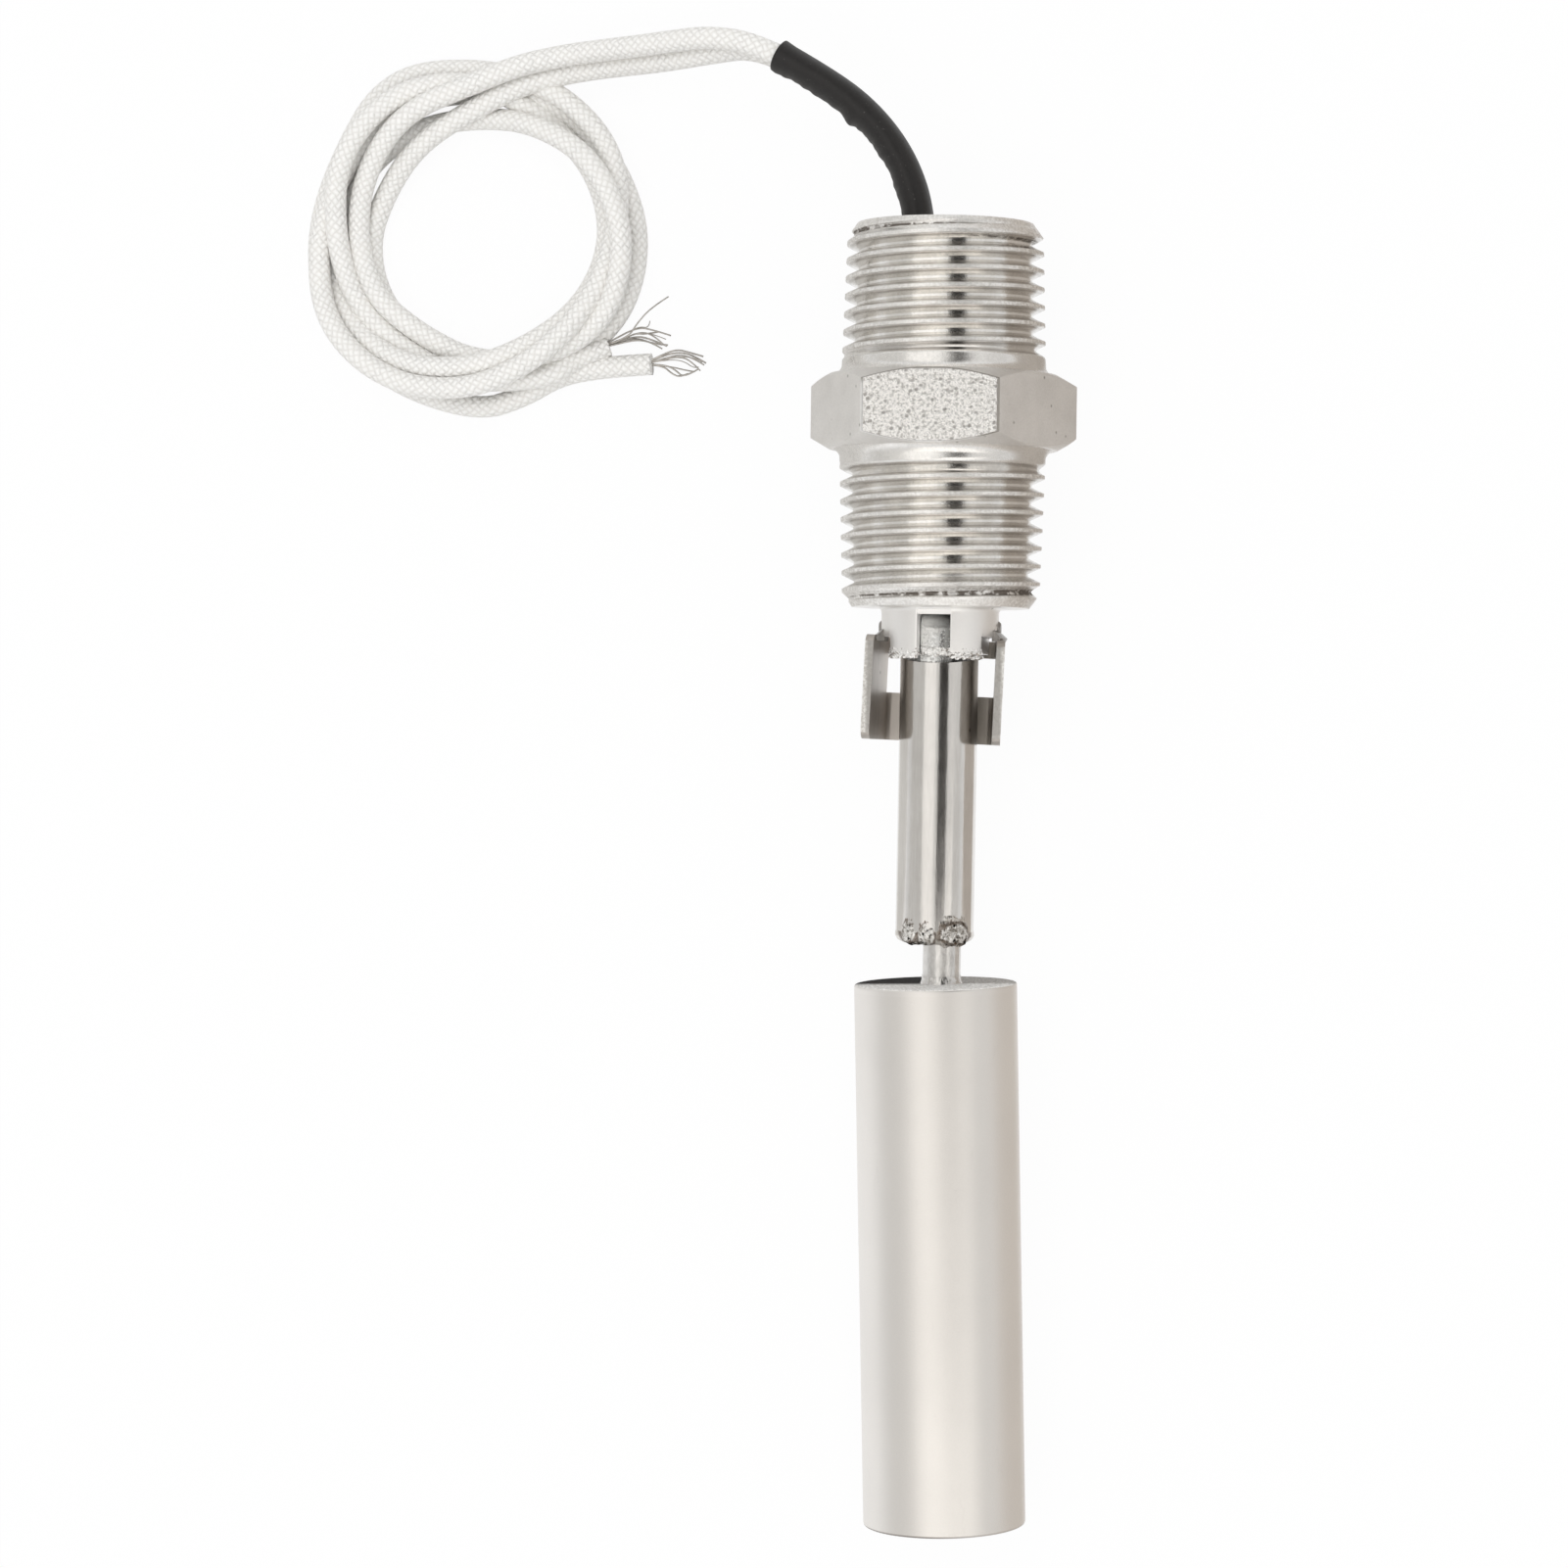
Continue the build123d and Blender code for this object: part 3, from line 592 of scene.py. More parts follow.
def make_finishes():
    pin = mottled(0.0004, (0.16, 0.15, 0.14), (0.48, 0.46, 0.44), 0.35)
    resin = mottled(0.0015, (0.008, 0.008, 0.009), (0.03, 0.03, 0.032), 0.12, 0.1, 2)
    wire = mottled(0.0006, (0.24, 0.22, 0.20), (0.80, 0.77, 0.73), 0.34)
    glass = mottled(0.001, (0.78, 0.90, 0.84), (0.90, 0.97, 0.94), 0.03, 0.03, 2, (0.2, 1, 1))
    reed = mottled(0.0002, (0.42, 0.40, 0.37), (0.66, 0.64, 0.60), 0.28, 0.1, 2, (0.1, 1, 1))
    tin = mottled(0.0005, (0.45, 0.43, 0.38), (0.72, 0.70, 0.64), 0.3, 0.15, 2)
    jacket = mottled(0.0006, (0.62, 0.60, 0.56), (0.80, 0.78, 0.74), 0.55, 0.1)
    magnet = mottled(0.0003, (0.10, 0.10, 0.105), (0.24, 0.24, 0.25), 0.4, 0.15, 3, (1, 0.1, 1))
    carrier = mottled(0.0009, (0.70, 0.69, 0.63), (0.82, 0.81, 0.76), 0.45, 0.1)
    return {
        "stainless_body": finish("cast_steel", cast_steel, 0.00014, Metallic=1.0),
        "thread": finish("thread_steel", thread_steel, 0.00003, Metallic=1.0),
        "stainless_tube": finish("tube_steel", tube_steel, 0.000006, Metallic=1.0),
        "rod": finish("rod_steel", rod_steel, 0.000012, Metallic=1.0),
        "float_face": finish("float_face", float_face, 0.00003, Specular_IOR_Level=0.1),
        "tongue": finish("tongue_steel", tongue_steel, 0.00003, Metallic=1.0),
        "float_satin": finish("float_steel", float_steel, 0.000012, Metallic=1.0),
        "stainless_sheet": finish("sheet_steel", sheet_steel, 0.00002, Metallic=1.0),
        "weld_metal": finish("weld_steel", weld_steel, 0.00014, Metallic=1.0),
        "burr": finish("burr_steel", burr_steel, 0.00006, Metallic=1.0),
        "stainless_pin": finish("pin_steel", pin, 0.00003, Metallic=1.0),
        "braid_white": finish("braid", braid, 0.00014, Specular_IOR_Level=0.5),
        "shrink_black": finish("shrink_black", shrink_black, 0.00004, Specular_IOR_Level=0.38),
        "potting_resin": finish("potting_resin", resin, 0.00003),
        "bare_wire": finish("bare_wire", wire, 0.00001, Metallic=0.9),
        "reed_glass": finish("glass_capsule", glass, 0.00001, Transmission_Weight=0.9, IOR=1.48),
        "reed_metal": finish("reed_metal", reed, 0.000005, Metallic=1.0),
        "crimp_tin": finish("crimp_tin", tin, 0.00003, Metallic=1.0),
        "jacket_soft": finish("soft_jacket", jacket, 0.00002),
        "magnet_alloy": finish("magnet_alloy", magnet, 0.00001, Metallic=0.9),
        "carrier_plastic": finish("moulded_carrier", carrier, 0.00002),
    }


# Modelling by hand
def apply(piece, kind, **settings):
    """Add a modifier, set it and apply it."""
    made = piece.modifiers.new(kind.lower(), kind)
    for setting, value in settings.items():
        setattr(made, setting, value)
    bpy.context.view_layer.objects.active = piece
    bpy.ops.object.modifier_apply(modifier=made.name)


def draw_outline(name, outline):
    """A line of (x, radius) points in the X-Y plane, pulled out of one vertex from point to point."""
    bpy.ops.object.select_all(action="DESELECT")
    bpy.ops.mesh.primitive_plane_add(size=0.001)
    piece = bpy.context.object
    piece.name = name
    bpy.ops.object.mode_set(mode="EDIT")
    bpy.ops.mesh.merge(type="CENTER")
    bpy.ops.transform.translate(value=(*outline[0], 0))
    for here, there in zip(outline, outline[1:]):
        pull = (there[0] - here[0], there[1] - here[1], 0)
        bpy.ops.mesh.extrude_region_move(TRANSFORM_OT_translate={"value": pull})
    bpy.ops.object.mode_set(mode="OBJECT")
    return piece


def turned(name, outline, steps, cuts=0, inwards=False):
    """A body of revolution about X. cuts divides its faces further, inwards turns them to the axis."""
    piece = draw_outline(name, outline)
    bpy.ops.object.mode_set(mode="EDIT")
    bpy.ops.mesh.select_all(action="SELECT")
    bpy.ops.mesh.spin(steps=steps, angle=2 * math.pi, center=(0, 0, 0), axis=(1, 0, 0))
    close_up()
    if cuts:
        bpy.ops.mesh.subdivide(number_cuts=cuts)
    if inwards:
        bpy.ops.mesh.flip_normals()
    bpy.ops.object.mode_set(mode="OBJECT")
    return piece


def close_up():
    """Merge what meets and turn the faces outwards, in edit mode."""
    bpy.ops.mesh.select_all(action="SELECT")
    bpy.ops.mesh.remove_doubles(threshold=0.000002)
    bpy.ops.mesh.normals_make_consistent(inside=False)


def block(name, low, high):
    bpy.ops.object.select_all(action="DESELECT")
    middle = [(a + b) / 2 for a, b in zip(low, high)]
    bpy.ops.mesh.primitive_cube_add(size=1, location=middle, scale=[b - a for a, b in zip(low, high)])
    piece = bpy.context.object
    piece.name = name
    bpy.ops.object.transform_apply(location=True, rotation=True, scale=True)
    return piece


def carve(piece, tool, operation="DIFFERENCE"):
    apply(piece, "BOOLEAN", object=tool, operation=operation, solver="EXACT")
    bpy.data.objects.remove(tool)


def smooth(piece, angle):
    bpy.ops.object.select_all(action="DESELECT")
    piece.select_set(True)
    bpy.context.view_layer.objects.active = piece
    bpy.ops.object.shade_smooth_by_angle(angle=math.radians(angle))


def settle(piece, body, material):
    """Give a piece its finish and the body that it rides on."""
    piece.data.materials.clear()
    piece.data.materials.append(material)
    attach(piece, body)


def roughen(piece, depth, size):
    """Push each vertex along its normal by noise of that depth and size."""
    for vertex in piece.data.vertices:
        vertex.co += vertex.normal * noise.fractal(vertex.co / size, 0.6, 2.0, 3) * depth


def share(value):
    """A value kept between 0 and 1."""
    return min(max(value, 0.0), 1.0)


def joined(name, pieces):
    bpy.ops.object.select_all(action="DESELECT")
    for piece in pieces:
        piece.select_set(True)
    bpy.context.view_layer.objects.active = pieces[0]
    bpy.ops.object.join()
    pieces[0].name = name
    return pieces[0]


# The leads
def route_line(name, points):
    """The points that the cord's NURBS spline passes, read from a curve with no bevel."""
    curve = bpy.data.curves.new(name, "CURVE")
    curve.dimensions = "3D"
    curve.resolution_u = 14
    spline = curve.splines.new("NURBS")
    spline.points.add(len(points) - 1)
    for point, place in zip(spline.points, points):
        point.co = (*place, 1)
    spline.order_u = 3
    spline.use_endpoint_u = True
    holder = bpy.data.objects.new(name, curve)
    bpy.context.scene.collection.objects.link(holder)
    bpy.context.view_layer.update()
    mesh = bpy.data.meshes.new_from_object(holder)
    line = [vertex.co.copy() for vertex in mesh.vertices]
    bpy.data.objects.remove(holder)
    bpy.data.meshes.remove(mesh)
    return line


def carried_frames(line):
    """At each point of a line, two directions across it that turn as little as they can."""
    up = Vector((0, 0, 1))
    frames = []
    side = None
    for i, here in enumerate(line):
        ahead = (line[min(i + 1, len(line) - 1)] - line[max(i - 1, 0)]).normalized()
        if side is None:
            side = ahead.cross(up).normalized()
        side = (side - ahead * side.dot(ahead)).normalized()
        frames.append((here, side, ahead.cross(side)))
    return frames


def tube(name, line, section, ring=24, ends=True):
    """A mesh tube. section gives the radius at a distance along and an angle round.

    Its UV runs in millimetres along it, and from 0 to 1 round it.
    """
    frames = carried_frames(line)
    run = [0.0]
    for a, b in zip(line, line[1:]):
        run.append(run[-1] + (b - a).length)
    points = []
    for i, (here, side, other) in enumerate(frames):
        for k in range(ring):
            turn = 2 * math.pi * k / ring
            radius = section(run[i], turn)
            points.append(here + side * radius * math.cos(turn) + other * radius * math.sin(turn))
    faces = []
    for i in range(len(line) - 1):
        for k in range(ring):
            n = (k + 1) % ring
            faces.append((i * ring + k, i * ring + n, (i + 1) * ring + n, (i + 1) * ring + k))
    if ends:
        faces.append(tuple(range(ring))[::-1])
        faces.append(tuple(range((len(line) - 1) * ring, len(line) * ring)))
    mesh = bpy.data.meshes.new(name)
    mesh.from_pydata([tuple(p) for p in points], [], faces)
    grid = mesh.uv_layers.new(name="UVMap")
    for face in mesh.polygons:
        first = face.index % ring
        for loop in face.loop_indices:
            i = mesh.loops[loop].vertex_index // ring
            k = mesh.loops[loop].vertex_index % ring
            if face.index < (len(line) - 1) * ring and first == ring - 1 and k == 0:
                k = ring
            grid.data[loop].uv = (run[i] / MM, k / ring)
        face.use_smooth = True
    piece = bpy.data.objects.new(name, mesh)
    bpy.context.scene.collection.objects.link(piece)
    return piece


# The leads' route: in the sleeve, past it, and down to the coil
sleeve_route = [
    (-0.0135, -0.0023),
    (-0.0188, -0.00235),
    (-0.0241, -0.0026),
    (-0.0294, -0.0044),
    (-0.0338, -0.0076),
    (-0.0373, -0.0119),
]
sleeve_mouth = (-0.0404, -0.0174)
past_sleeve = (-0.0415, -0.0198)
lead_a_route = [
    (-0.0424, -0.0250, 0.0),
    (-0.0421, -0.0304, -0.0024),
    (-0.0419, -0.0358, -0.0048),
    (-0.0416, -0.0411, -0.0066),
    (-0.0405, -0.0463, -0.0066),
    (-0.0386, -0.0512, -0.0066),
]
lead_b_route = [
    (-0.0411, -0.0250, -0.0027),
    (-0.0406, -0.0303, -0.0048),
    (-0.0405, -0.0356, -0.0072),
    (-0.0401, -0.0409, -0.0087),
    (-0.0388, -0.0460, -0.0084),
    (-0.0366, -0.0506, -0.0083),
]

# The coil's turns: radius of the strand and its height over the floor layer, in millimetres,
# at every 30 degrees from the left of where the leads come in
coil_centre = Vector((-0.0226, -0.0510, 0))
coil_step = 30
coil_from = 120
coil_a = [
    (14.7, 3.6), (13.4, 2.4), (12.4, 2.1), (11.9, 2.3), (11.2, 2.1), (12.5, 1.9),
    (14.3, 2.1), (16.5, 3.4), (16.2, 4.8), (14.9, 4.4), (13.4, 2.4), (12.7, 0.1),
    (13.4, 0.0), (14.4, 0.0), (14.9, 0.0), (16.2, 1.5), (15.0, 3.7), (13.5, 4.6),
    (12.7, 3.8), (13.3, 1.9), (14.0, 0.4), (14.1, 0.0), (14.3, 0.0), (16.3, 2.0),
    (17.2, 3.4), (16.2, 4.2), (14.4, 3.3), (14.1, 2.0), (13.5, 1.6), (14.7, 2.2),
    (16.3, 2.4),
]
coil_b = [
    (11.6, 1.8), (10.9, 0.6), (11.6, 0.0), (11.9, 0.0), (12.1, 0.0), (13.4, 0.0),
    (15.1, 0.0), (17.1, 0.0), (17.1, 0.0), (16.3, 0.0), (16.5, 0.0), (15.4, 0.0),
    (16.5, 0.0), (15.8, 2.1), (16.5, 2.3), (17.7, 3.6), (17.1, 4.6), (15.8, 5.2),
    (14.4, 5.0), (14.1, 4.0), (14.9, 2.4), (17.0, 2.1), (17.4, 1.9), (17.8, 0.0),
    (19.5, 0.0), (17.0, 0.0), (17.3, 0.0), (18.1, 0.0), (17.0, 0.0), (17.4, 0.0),
]
lead_a_end = [(-0.0099, -0.0405, -0.0096), (-0.0109, -0.0383, -0.0102), (-0.0115, -0.0369, -0.0106)]
lead_b_end = [
    (-0.0060, -0.0462, -0.01075),
    (-0.0083, -0.0423, -0.01075),
    (-0.0090, -0.0390, -0.01075),
    (-0.0094, -0.0354, -0.01075),
    (-0.0096, -0.0322, -0.01075),
]


def coil_points(turns):
    """The turns as spline points. The spline runs inside its points, so they stand further out."""
    stand_off = 1 / math.cos(math.radians(coil_step / 2))
    points = []
    for i, (radius, height) in enumerate(turns):
        turn = math.radians(coil_from + coil_step * i)
        out = Vector((-math.sin(turn), math.cos(turn), 0)) * radius * stand_off * MM
        layer = Vector((0, 0, floor_z + lead_radius + height * MM))
        points.append(tuple(coil_centre + out + layer))
    return points


def lead_points(side, down, turns, end):
    in_sleeve = [(x, y, side * lead_height) for x, y in sleeve_route + [past_sleeve]]
    return in_sleeve + down + coil_points(turns) + end


def braided_section(run, turn):
    """A lead's radius, a little uneven along its length."""
    return lead_radius * (1 + 0.012 * noise.noise(Vector((run * 400, math.cos(turn), math.sin(turn)))))


def length_of(line):
    return sum((b - a).length for a, b in zip(line, line[1:]))


def wires(name, routes, thickness):
    """Fine bare wires as one piece."""
    made = []
    for i, route in enumerate(routes):
        line = route_line(f"{name}_{i}", [tuple(c * MM / 10 for c in point) for point in route])
        radius = thickness[i % len(thickness)] * MM / 2
        made.append(tube(f"{name}_{i}", line, lambda run, turn, r=radius: r, ring=8))
    return joined(name, made)


# The frayed wires' routes, in tenths of a millimetre
strands_a_routes = [
    [(-113, -380, -107), (-119, -362, -108), (-126, -339, -112), (-123, -325, -115), (-116, -308, -118)],
    [(-112, -380, -108), (-118, -362, -110), (-124, -343, -112), (-121, -327, -115), (-113, -313, -118)],
    [(-113, -380, -104), (-121, -364, -105), (-135, -339, -109), (-133, -323, -113), (-127, -304, -118)],
    [(-114, -380, -105), (-125, -356, -106), (-136, -337, -108), (-134, -326, -110), (-142, -326, -114)],
    [(-113, -380, -103), (-123, -351, -104), (-131, -333, -110), (-125, -319, -114), (-117, -311, -118)],
    [(-112, -380, -106), (-120, -350, -108), (-122, -334, -111), (-118, -321, -115), (-117, -307, -118)],
    [(-114, -376, -103), (-122, -347, -99), (-138, -337, -98), (-155, -322, -99), (-167, -305, -106)],
    [(-113, -380, -109), (-118, -358, -110), (-129, -343, -112), (-128, -331, -115), (-131, -317, -118)],
    [(-113, -380, -107), (-122, -354, -107), (-129, -338, -108), (-129, -324, -112), (-123, -309, -117)],
]
strands_b_routes = [
    [(-96, -330, -106), (-104, -313, -108), (-109, -295, -110), (-106, -279, -114), (-98, -266, -118)],
    [(-96, -330, -108), (-102, -310, -109), (-107, -291, -111), (-100, -274, -115), (-96, -268, -118)],
    [(-96, -330, -109), (-96, -309, -110), (-90, -297, -112), (-82, -289, -115), (-92, -274, -118)],
    [(-96, -330, -107), (-101, -306, -108), (-100, -289, -111), (-92, -278, -115), (-94, -274, -118)],
    [(-96, -330, -110), (-94, -303, -111), (-90, -287, -114), (-89, -278, -118)],
    [(-96, -330, -105), (-104, -315, -107), (-112, -297, -110), (-109, -283, -114), (-105, -269, -118)],
    [(-96, -330, -107), (-100, -311, -108), (-104, -297, -110), (-102, -283, -114), (-90, -272, -118)],
    [(-96, -330, -110), (-95, -311, -111), (-86, -301, -113), (-83, -293, -115), (-87, -285, -118)],
    [(-96, -330, -106), (-103, -308, -107), (-104, -290, -109), (-103, -276, -113), (-99, -270, -117)],
]


def leads(finishes):
    for letter, side, down, turns, end, routes in (
        ("a", 1, lead_a_route, coil_a, lead_a_end, strands_a_routes),
        ("b", -1, lead_b_route, coil_b, lead_b_end, strands_b_routes),
    ):
        line = route_line(f"lead_{letter}_line", lead_points(side, down, turns, end))
        cord = tube(f"lead_{letter}_cord", line, braided_section)
        settle(cord, "housing", finishes["braid_white"])
        bare = wires(f"strands_{letter}_wires", routes, (0.20, 0.16, 0.18, 0.11, 0.16))
        settle(bare, "housing", finishes["bare_wire"])
        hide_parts(f"strands_{letter}")
    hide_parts("lead_a_run", "lead_coil")
    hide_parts("lead_b_run", "lead_b_tail")


def shrink_sleeve(finishes):
    """Oval shrink tube over both leads, lumpy where it turns, cut square at its mouth."""
    points = [(x, y, 0) for x, y in sleeve_route[1:] + [sleeve_mouth]]
    line = route_line("sleeve_line", points)
    half_width = lead_radius + 0.40 * MM
    total = length_of(line)

    def section(run, turn):
        inner = max(0.0, -math.cos(turn))
        oval = 1 / math.hypot(math.cos(turn) / half_width, math.sin(turn) / (half_width + 1.15 * MM))
        place = Vector((run, 0.3 * MM * math.sin(turn), 0))
        lump = noise.noise(place * 420) + 0.6 * noise.noise(place * 1300)
        bulge = math.exp(-((run / total - 0.64) ** 2) / 0.0006)
        mouth = 0.10 * MM * max(0.0, 1 - (total - run) / (1.2 * MM))
        return oval + inner * (0.20 * MM * lump + 0.42 * MM * bulge + 0.1 * MM) + mouth

    fine = []
    for a, b in zip(line, line[1:]):
        fine += [a.lerp(b, k / 3) for k in range(3)]
    fine.append(line[-1])
    piece = tube("shrink_sleeve_skin", fine, section, ring=48, ends=False)
    settle(piece, "housing", finishes["shrink_black"])
    apply(piece, "SOLIDIFY", thickness=0.3 * MM, offset=-1)
    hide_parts("shrink_sleeve")


# The nipple
def thread(name, length, crest_radius, neck, first_crest, heading):
    """One taper thread as a true right-hand helix. heading is 1 along +X from the hexagon, -1 along -X."""
    flank = (thread_pitch - crest_flat - root_flat) / 2
    turns = math.ceil(length / thread_pitch) + 3
    corners = [
        (0, crest_radius - thread_depth),
        (root_flat, crest_radius - thread_depth),
        (root_flat + flank, crest_radius),
        (root_flat + flank + crest_flat, crest_radius),
        (thread_pitch, crest_radius - thread_depth),
    ]
    outline = [corners[0]]
    for (x0, r0), (x1, r1), cuts in zip(corners, corners[1:], (1, 5, 2, 5)):
        outline += [(x0 + (x1 - x0) * k / cuts, r0 + (r1 - r0) * k / cuts) for k in range(1, cuts + 1)]
    face = 0.0 if heading > 0 else -hex_length
    crest = root_flat + flank + crest_flat / 2
    # The helix passes the crest at the top of the body, a quarter turn from where the outline is drawn
    top_crest = face + heading * first_crest
    start = top_crest - crest - thread_pitch / 4
    start -= thread_pitch * (2 if heading > 0 else turns - 2)
    piece = draw_outline(name, [(start + x, r) for x, r in outline])
    apply(
        piece,
        "SCREW",
        axis="X",
        steps=96,
        render_steps=96,
        iterations=turns + 1,
        screw_offset=thread_pitch,
        use_merge_vertices=True,
        merge_threshold=0.000003,
    )
    for vertex in piece.data.vertices:
        shape_thread(vertex, face, heading, length, crest_radius, neck)
    bpy.context.view_layer.objects.active = piece
    bpy.ops.object.mode_set(mode="EDIT")
    bpy.ops.mesh.select_all(action="SELECT")
    bpy.ops.mesh.dissolve_degenerate(threshold=0.000003)
    close_up()
    bpy.ops.object.mode_set(mode="OBJECT")
    return piece


def shape_thread(vertex, face, heading, length, crest_radius, neck):
    """Taper one vertex of a thread, run it out at the neck, and cut it off at both ends."""
    x, y, z = vertex.co
    turn = math.atan2(z, y)
    depth = crest_radius - math.hypot(y, z)
    along = (x - face) * heading
    fade = share((along - neck) / thread_run_out)
    fade *= 1 - end_turn_loss * share((along - length + end_turn) / (0.8 * MM))
    along = min(max(along, 0.0), length)
    radius = crest_radius - depth * fade - along * thread_taper / 2
    limit = crest_radius - length * thread_taper / 2 - max(along - (length - end_cone), 0.0) * end_cone_slope
    if along > length - end_cone:
        radius = min(radius, limit)
    skin = Vector((along * heading, crest_radius * math.cos(turn), crest_radius * math.sin(turn)))
    torn = noise.fractal(skin / (0.45 * MM), 0.7, 2.0, 3)
    proud = 1.0 if depth < 0.15 * MM or along > length - end_cone else 0.25
    radius += torn * proud * thread_tear
    flare = max(0.0, 1 - along / neck_flare_length)
    radius += flare**2 * neck_flare
    vertex.co = (face + heading * along, radius * math.cos(turn), radius * math.sin(turn))


def hexagon():
    bpy.ops.object.select_all(action="DESELECT")
    corner = hex_flats / 2 / math.cos(math.radians(30))
    bpy.ops.mesh.primitive_cylinder_add(
        vertices=6,
        radius=corner,
        depth=hex_length,
        location=(-hex_length / 2, 0, 0),
        rotation=(0, math.radians(90), 0),
    )
    piece = bpy.context.object
    piece.name = "hexagon"
    bpy.ops.object.transform_apply(location=True, rotation=True, scale=True)
    bend = {"limit_method": "ANGLE", "angle_limit": math.radians(25)}
    apply(piece, "BEVEL", width=hex_corner_round, segments=3, **bend)
    rim = hex_flats / 2 - hex_chamfer_inset
    top = corner + 0.02 * MM
    edge = (top - rim) * math.tan(math.radians(chamfer_angle))
    near, far = 1e-5, -hex_length - 1e-5
    outline = [(far, 0), (far, rim), (-hex_length + edge, top), (-edge, top), (near, rim), (near, 0)]
    carve(piece, turned("hex_barrel", outline, 120), "INTERSECT")
    apply(piece, "BEVEL", width=hex_edge_round, segments=2, **bend)
    return piece


def boss():
    """Forked boss with its slot and side flats, and the end of the thread behind it."""
    root = 0.6 * MM
    start = process_length - 1.2 * MM
    rim = process_crest_radius - process_length * thread_taper / 2 - end_cone * end_cone_slope
    outline = [(start, 0), (start, rim), (process_length, rim)]
    for turn in range(0, 91, 15):
        across, up = math.cos(math.radians(turn)), math.sin(math.radians(turn))
        outline.append((process_length + root - root * across, boss_radius + root - root * up))
    outline += [(boss_end - 0.12 * MM, boss_radius), (boss_end, boss_radius - 0.12 * MM), (boss_end, 0)]
    piece = turned("boss", outline, 96)
    carve(piece, block("slot", (slot_floor, -slot_width / 2, -past), (boss_end + past, slot_width / 2, past)))
    for side in (-1, 1):
        low, high = sorted((side * 4.5 * MM, side * 5.5 * MM))
        half = slot_width / 2 + 0.2 * MM
        lip = block("lip", (slot_floor - 0.3 * MM, -half, low), (slot_floor + 0.5 * MM, half, high))
        carve(piece, lip, "UNION")
        near, far = sorted((side * boss_flats / 2, side * past))
        carve(piece, block("flat", (boss_end - boss_flat_length, near, -past), (boss_end + past, far, past)))
    apply(piece, "BEVEL", width=0.07 * MM, segments=2, limit_method="ANGLE", angle_limit=math.radians(40))
    return piece


def bore_lining():
    """The wire entry: rim, bore and the step down to the sealing compound."""
    rim = conduit_crest_radius - conduit_length * thread_taper / 2 - end_cone * end_cone_slope
    lip = 0.3 * MM
    outline = [
        (body_end + 0.4 * MM, rim + 0.2 * MM),
        (body_end, rim),
        (body_end, cable_bore_radius + lip),
        (body_end + lip, cable_bore_radius),
        (body_end + potting_recess + 1.0 * MM, cable_bore_radius),
    ]
    return turned("bore_lining", outline, 96, inwards=True)


def nipple(finishes):
    process = (process_length, process_crest_radius, process_neck, process_first_crest, 1)
    conduit = (conduit_length, conduit_crest_radius, conduit_neck, conduit_first_crest, -1)
    threads = [thread("process_thread", *process), thread("conduit_thread", *conduit)]
    hexed = hexagon()
    for piece, angle, look in (
        (threads[0], 30, "thread"),
        (threads[1], 30, "thread"),
        (hexed, 12, "stainless_body"),
        (boss(), 30, "stainless_body"),
        (bore_lining(), 30, "thread"),
    ):
        smooth(piece, angle)
        settle(piece, "housing", finishes[look])
    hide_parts("nipple_body")


# Welds and burrs
def crust(name, places, body, finishes):
    """A row of small rough lumps of metal, as (place, size in metres)."""
    made = []
    for place, size in places:
        bpy.ops.object.select_all(action="DESELECT")
        bpy.ops.mesh.primitive_ico_sphere_add(subdivisions=3, radius=1, location=place, scale=size)
        piece = bpy.context.object
        bpy.ops.object.transform_apply(location=True, rotation=True, scale=True)
        roughen(piece, 0.4 * min(size), 0.35 * MM)
        made.append(piece)
    piece = joined(name, made)
    smooth(piece, 60)
    settle(piece, body, finishes["burr"])


def arm_turn():
    """The droop and sideways lean that the arm lies at."""
    return Matrix.Rotation(math.radians(arm_droop), 3, "Y") @ Matrix.Rotation(math.radians(arm_yaw), 3, "Z")


def arm_place(x, y, z):
    """A point on the level, straight arm, at the arm's own droop and yaw."""
    pin = Vector((pin_x, 0, 0))
    return pin + arm_turn() @ (Vector((x, y, z)) - pin)


def float_way():
    """The way the float points."""
    return arm_turn() @ Matrix.Rotation(math.radians(float_lean), 3, "Z") @ Vector((1, 0, 0))


def fork_burr(finishes):
    """Torn metal along the end edge of both cheeks."""
    places = []
    for row, (inward, count) in enumerate(((0.35, 34), (0.0, 46), (-0.38, 42))):
        for i in range(count):
            turn = math.radians(90 - 50 + 100 * i / (count - 1))
            y = boss_radius * math.cos(turn)
            if abs(y) < slot_width / 2 or abs(y) > boss_flats / 2:
                continue
            wander = noise.noise(Vector((i * 1.7, row * 3, 0)))
            size = ((0.12, 0.22, 0.22)[row] + 0.09 * wander) * MM
            z = boss_radius * math.sin(turn) - (0.1 + 0.12 * row) * MM
            x = boss_end + (0.2 * noise.noise(Vector((i * 1.3, 7 + row, 0))) - inward) * MM
            places.append(((x, y, z), (size, size * 1.3, size * 0.8)))
    crust("fork_burr", places, "housing", finishes)


def tongue_burr(finishes):
    """Torn metal on the tongue where it enters the tube."""
    places = []
    for row in range(3):
        for i in range(10):
            y = (-1.35 + 2.7 * i / 9) * MM
            wander = noise.noise(Vector((i * 2.3, 5 + row * 3, 0)))
            size = (0.19 + 0.08 * wander) * MM
            x = boss_end + (0.26 * row + 0.2 * wander - 0.6) * MM
            places.append((arm_place(x, y, 3.4 * MM), (size, size * 1.2, size)))
    crust("tongue_burr", places, "float_arm", finishes)


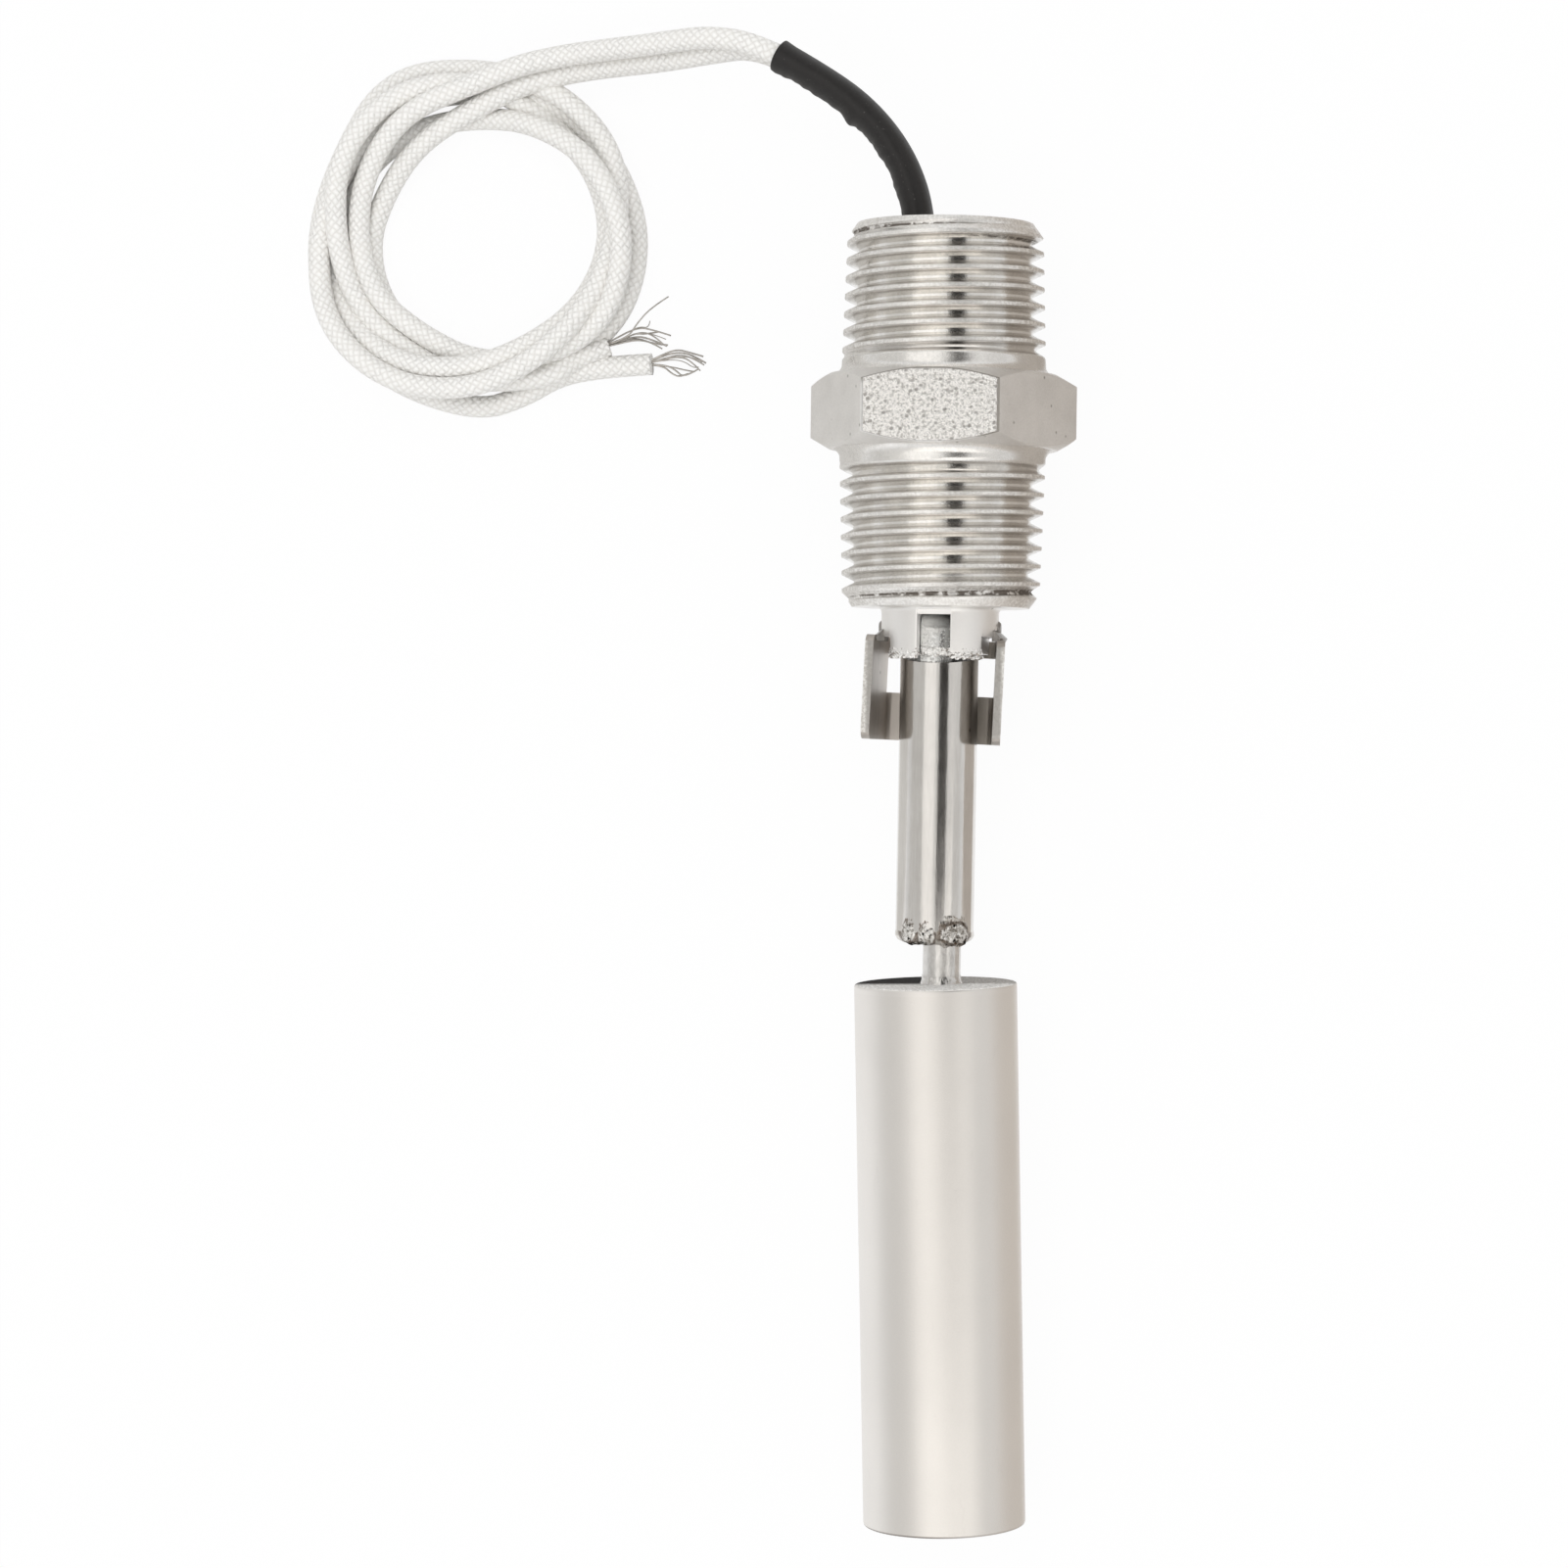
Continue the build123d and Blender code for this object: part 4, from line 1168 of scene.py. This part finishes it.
def tube_weld(finishes):
    """The fused tube end round the rod, with three proud patches."""
    outline = [
        (tube_end - 1.9 * MM, tube_radius - 0.25 * MM),
        (tube_end - 1.4 * MM, tube_radius - 0.10 * MM),
        (tube_end - 0.9 * MM, tube_radius - 0.06 * MM),
        (tube_end - 0.4 * MM, tube_radius - 0.04 * MM),
        (tube_end, tube_radius + 0.03 * MM),
        (arm_end - 0.75 * MM, tube_radius + 0.04 * MM),
        (arm_end - 0.35 * MM, tube_radius - 0.2 * MM),
        (arm_end - 0.1 * MM, tube_radius - 0.65 * MM),
        (arm_end, tube_radius - 1.3 * MM),
        (arm_end, rod_radius),
        (arm_end - 0.1 * MM, 0),
    ]
    piece = turned("tube_weld", outline, 96, cuts=3)
    for vertex in piece.data.vertices:
        _, y, z = vertex.co
        turn = math.degrees(math.atan2(y, z))
        patch = sum(
            height * share((half - abs(turn - middle)) / 12) for middle, half, height in weld_patches
        )
        outer = share((math.hypot(y, z) - rod_radius) / (1.2 * MM))
        lump = noise.fractal(vertex.co / (0.8 * MM), 0.7, 2.0, 4)
        vertex.co += vertex.normal * outer * (lump * (0.02 + 0.22 * patch) + 0.24 * patch) * MM
    for vertex in piece.data.vertices:
        vertex.co = arm_place(*vertex.co)
    smooth(piece, 50)
    settle(piece, "float_arm", finishes["weld_metal"])
    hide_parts("tube_end_weld")


def rod_weld(finishes):
    """The bead where the rod meets the float."""
    outline = [
        (float_start - 0.9 * MM, rod_radius - 0.05 * MM),
        (float_start - 0.75 * MM, rod_radius + 0.04 * MM),
        (float_start - 0.3 * MM, rod_radius + 0.12 * MM),
        (float_start - 0.05 * MM, rod_radius + 0.22 * MM),
        (float_start + 0.25 * MM, rod_radius + 0.25 * MM),
    ]
    piece = turned("rod_weld_bead", outline, 64, cuts=2)
    for vertex in piece.data.vertices:
        vertex.co += vertex.normal * noise.fractal(vertex.co / (0.9 * MM), 0.6, 2.0, 3) * 0.07 * MM
        vertex.co.y += rod_offset
        vertex.co = arm_place(*vertex.co)
    smooth(piece, 50)
    settle(piece, "float_arm", finishes["rod"])
    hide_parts("rod_weld")


def dress_nodes(finishes):
    """The CAD solids that stay, each with its own finish."""
    slots = {entry["node"]: entry["material_slot"] for entry in frame["record"]["subparts"]}
    special = {"arm_knuckle": "tongue", "float_rod": "rod", "float_top_cap": "float_face"}
    # Painted shade: the bracket's two welds take the dark pin finish to stand in for the shadowed recesses
    # beside the boss.
    special.update({f"bracket_weld_{side}": "stainless_pin" for side in ("left", "right")})
    for node, piece in frame["nodes"].items():
        piece.data.materials.clear()
        piece.data.materials.append(finishes[special.get(node, slots[node])])


camera()
finishes = make_finishes()
leads(finishes)
studio()
shrink_sleeve(finishes)
nipple(finishes)
fork_burr(finishes)
tongue_burr(finishes)
tube_weld(finishes)
rod_weld(finishes)
dress_nodes(finishes)
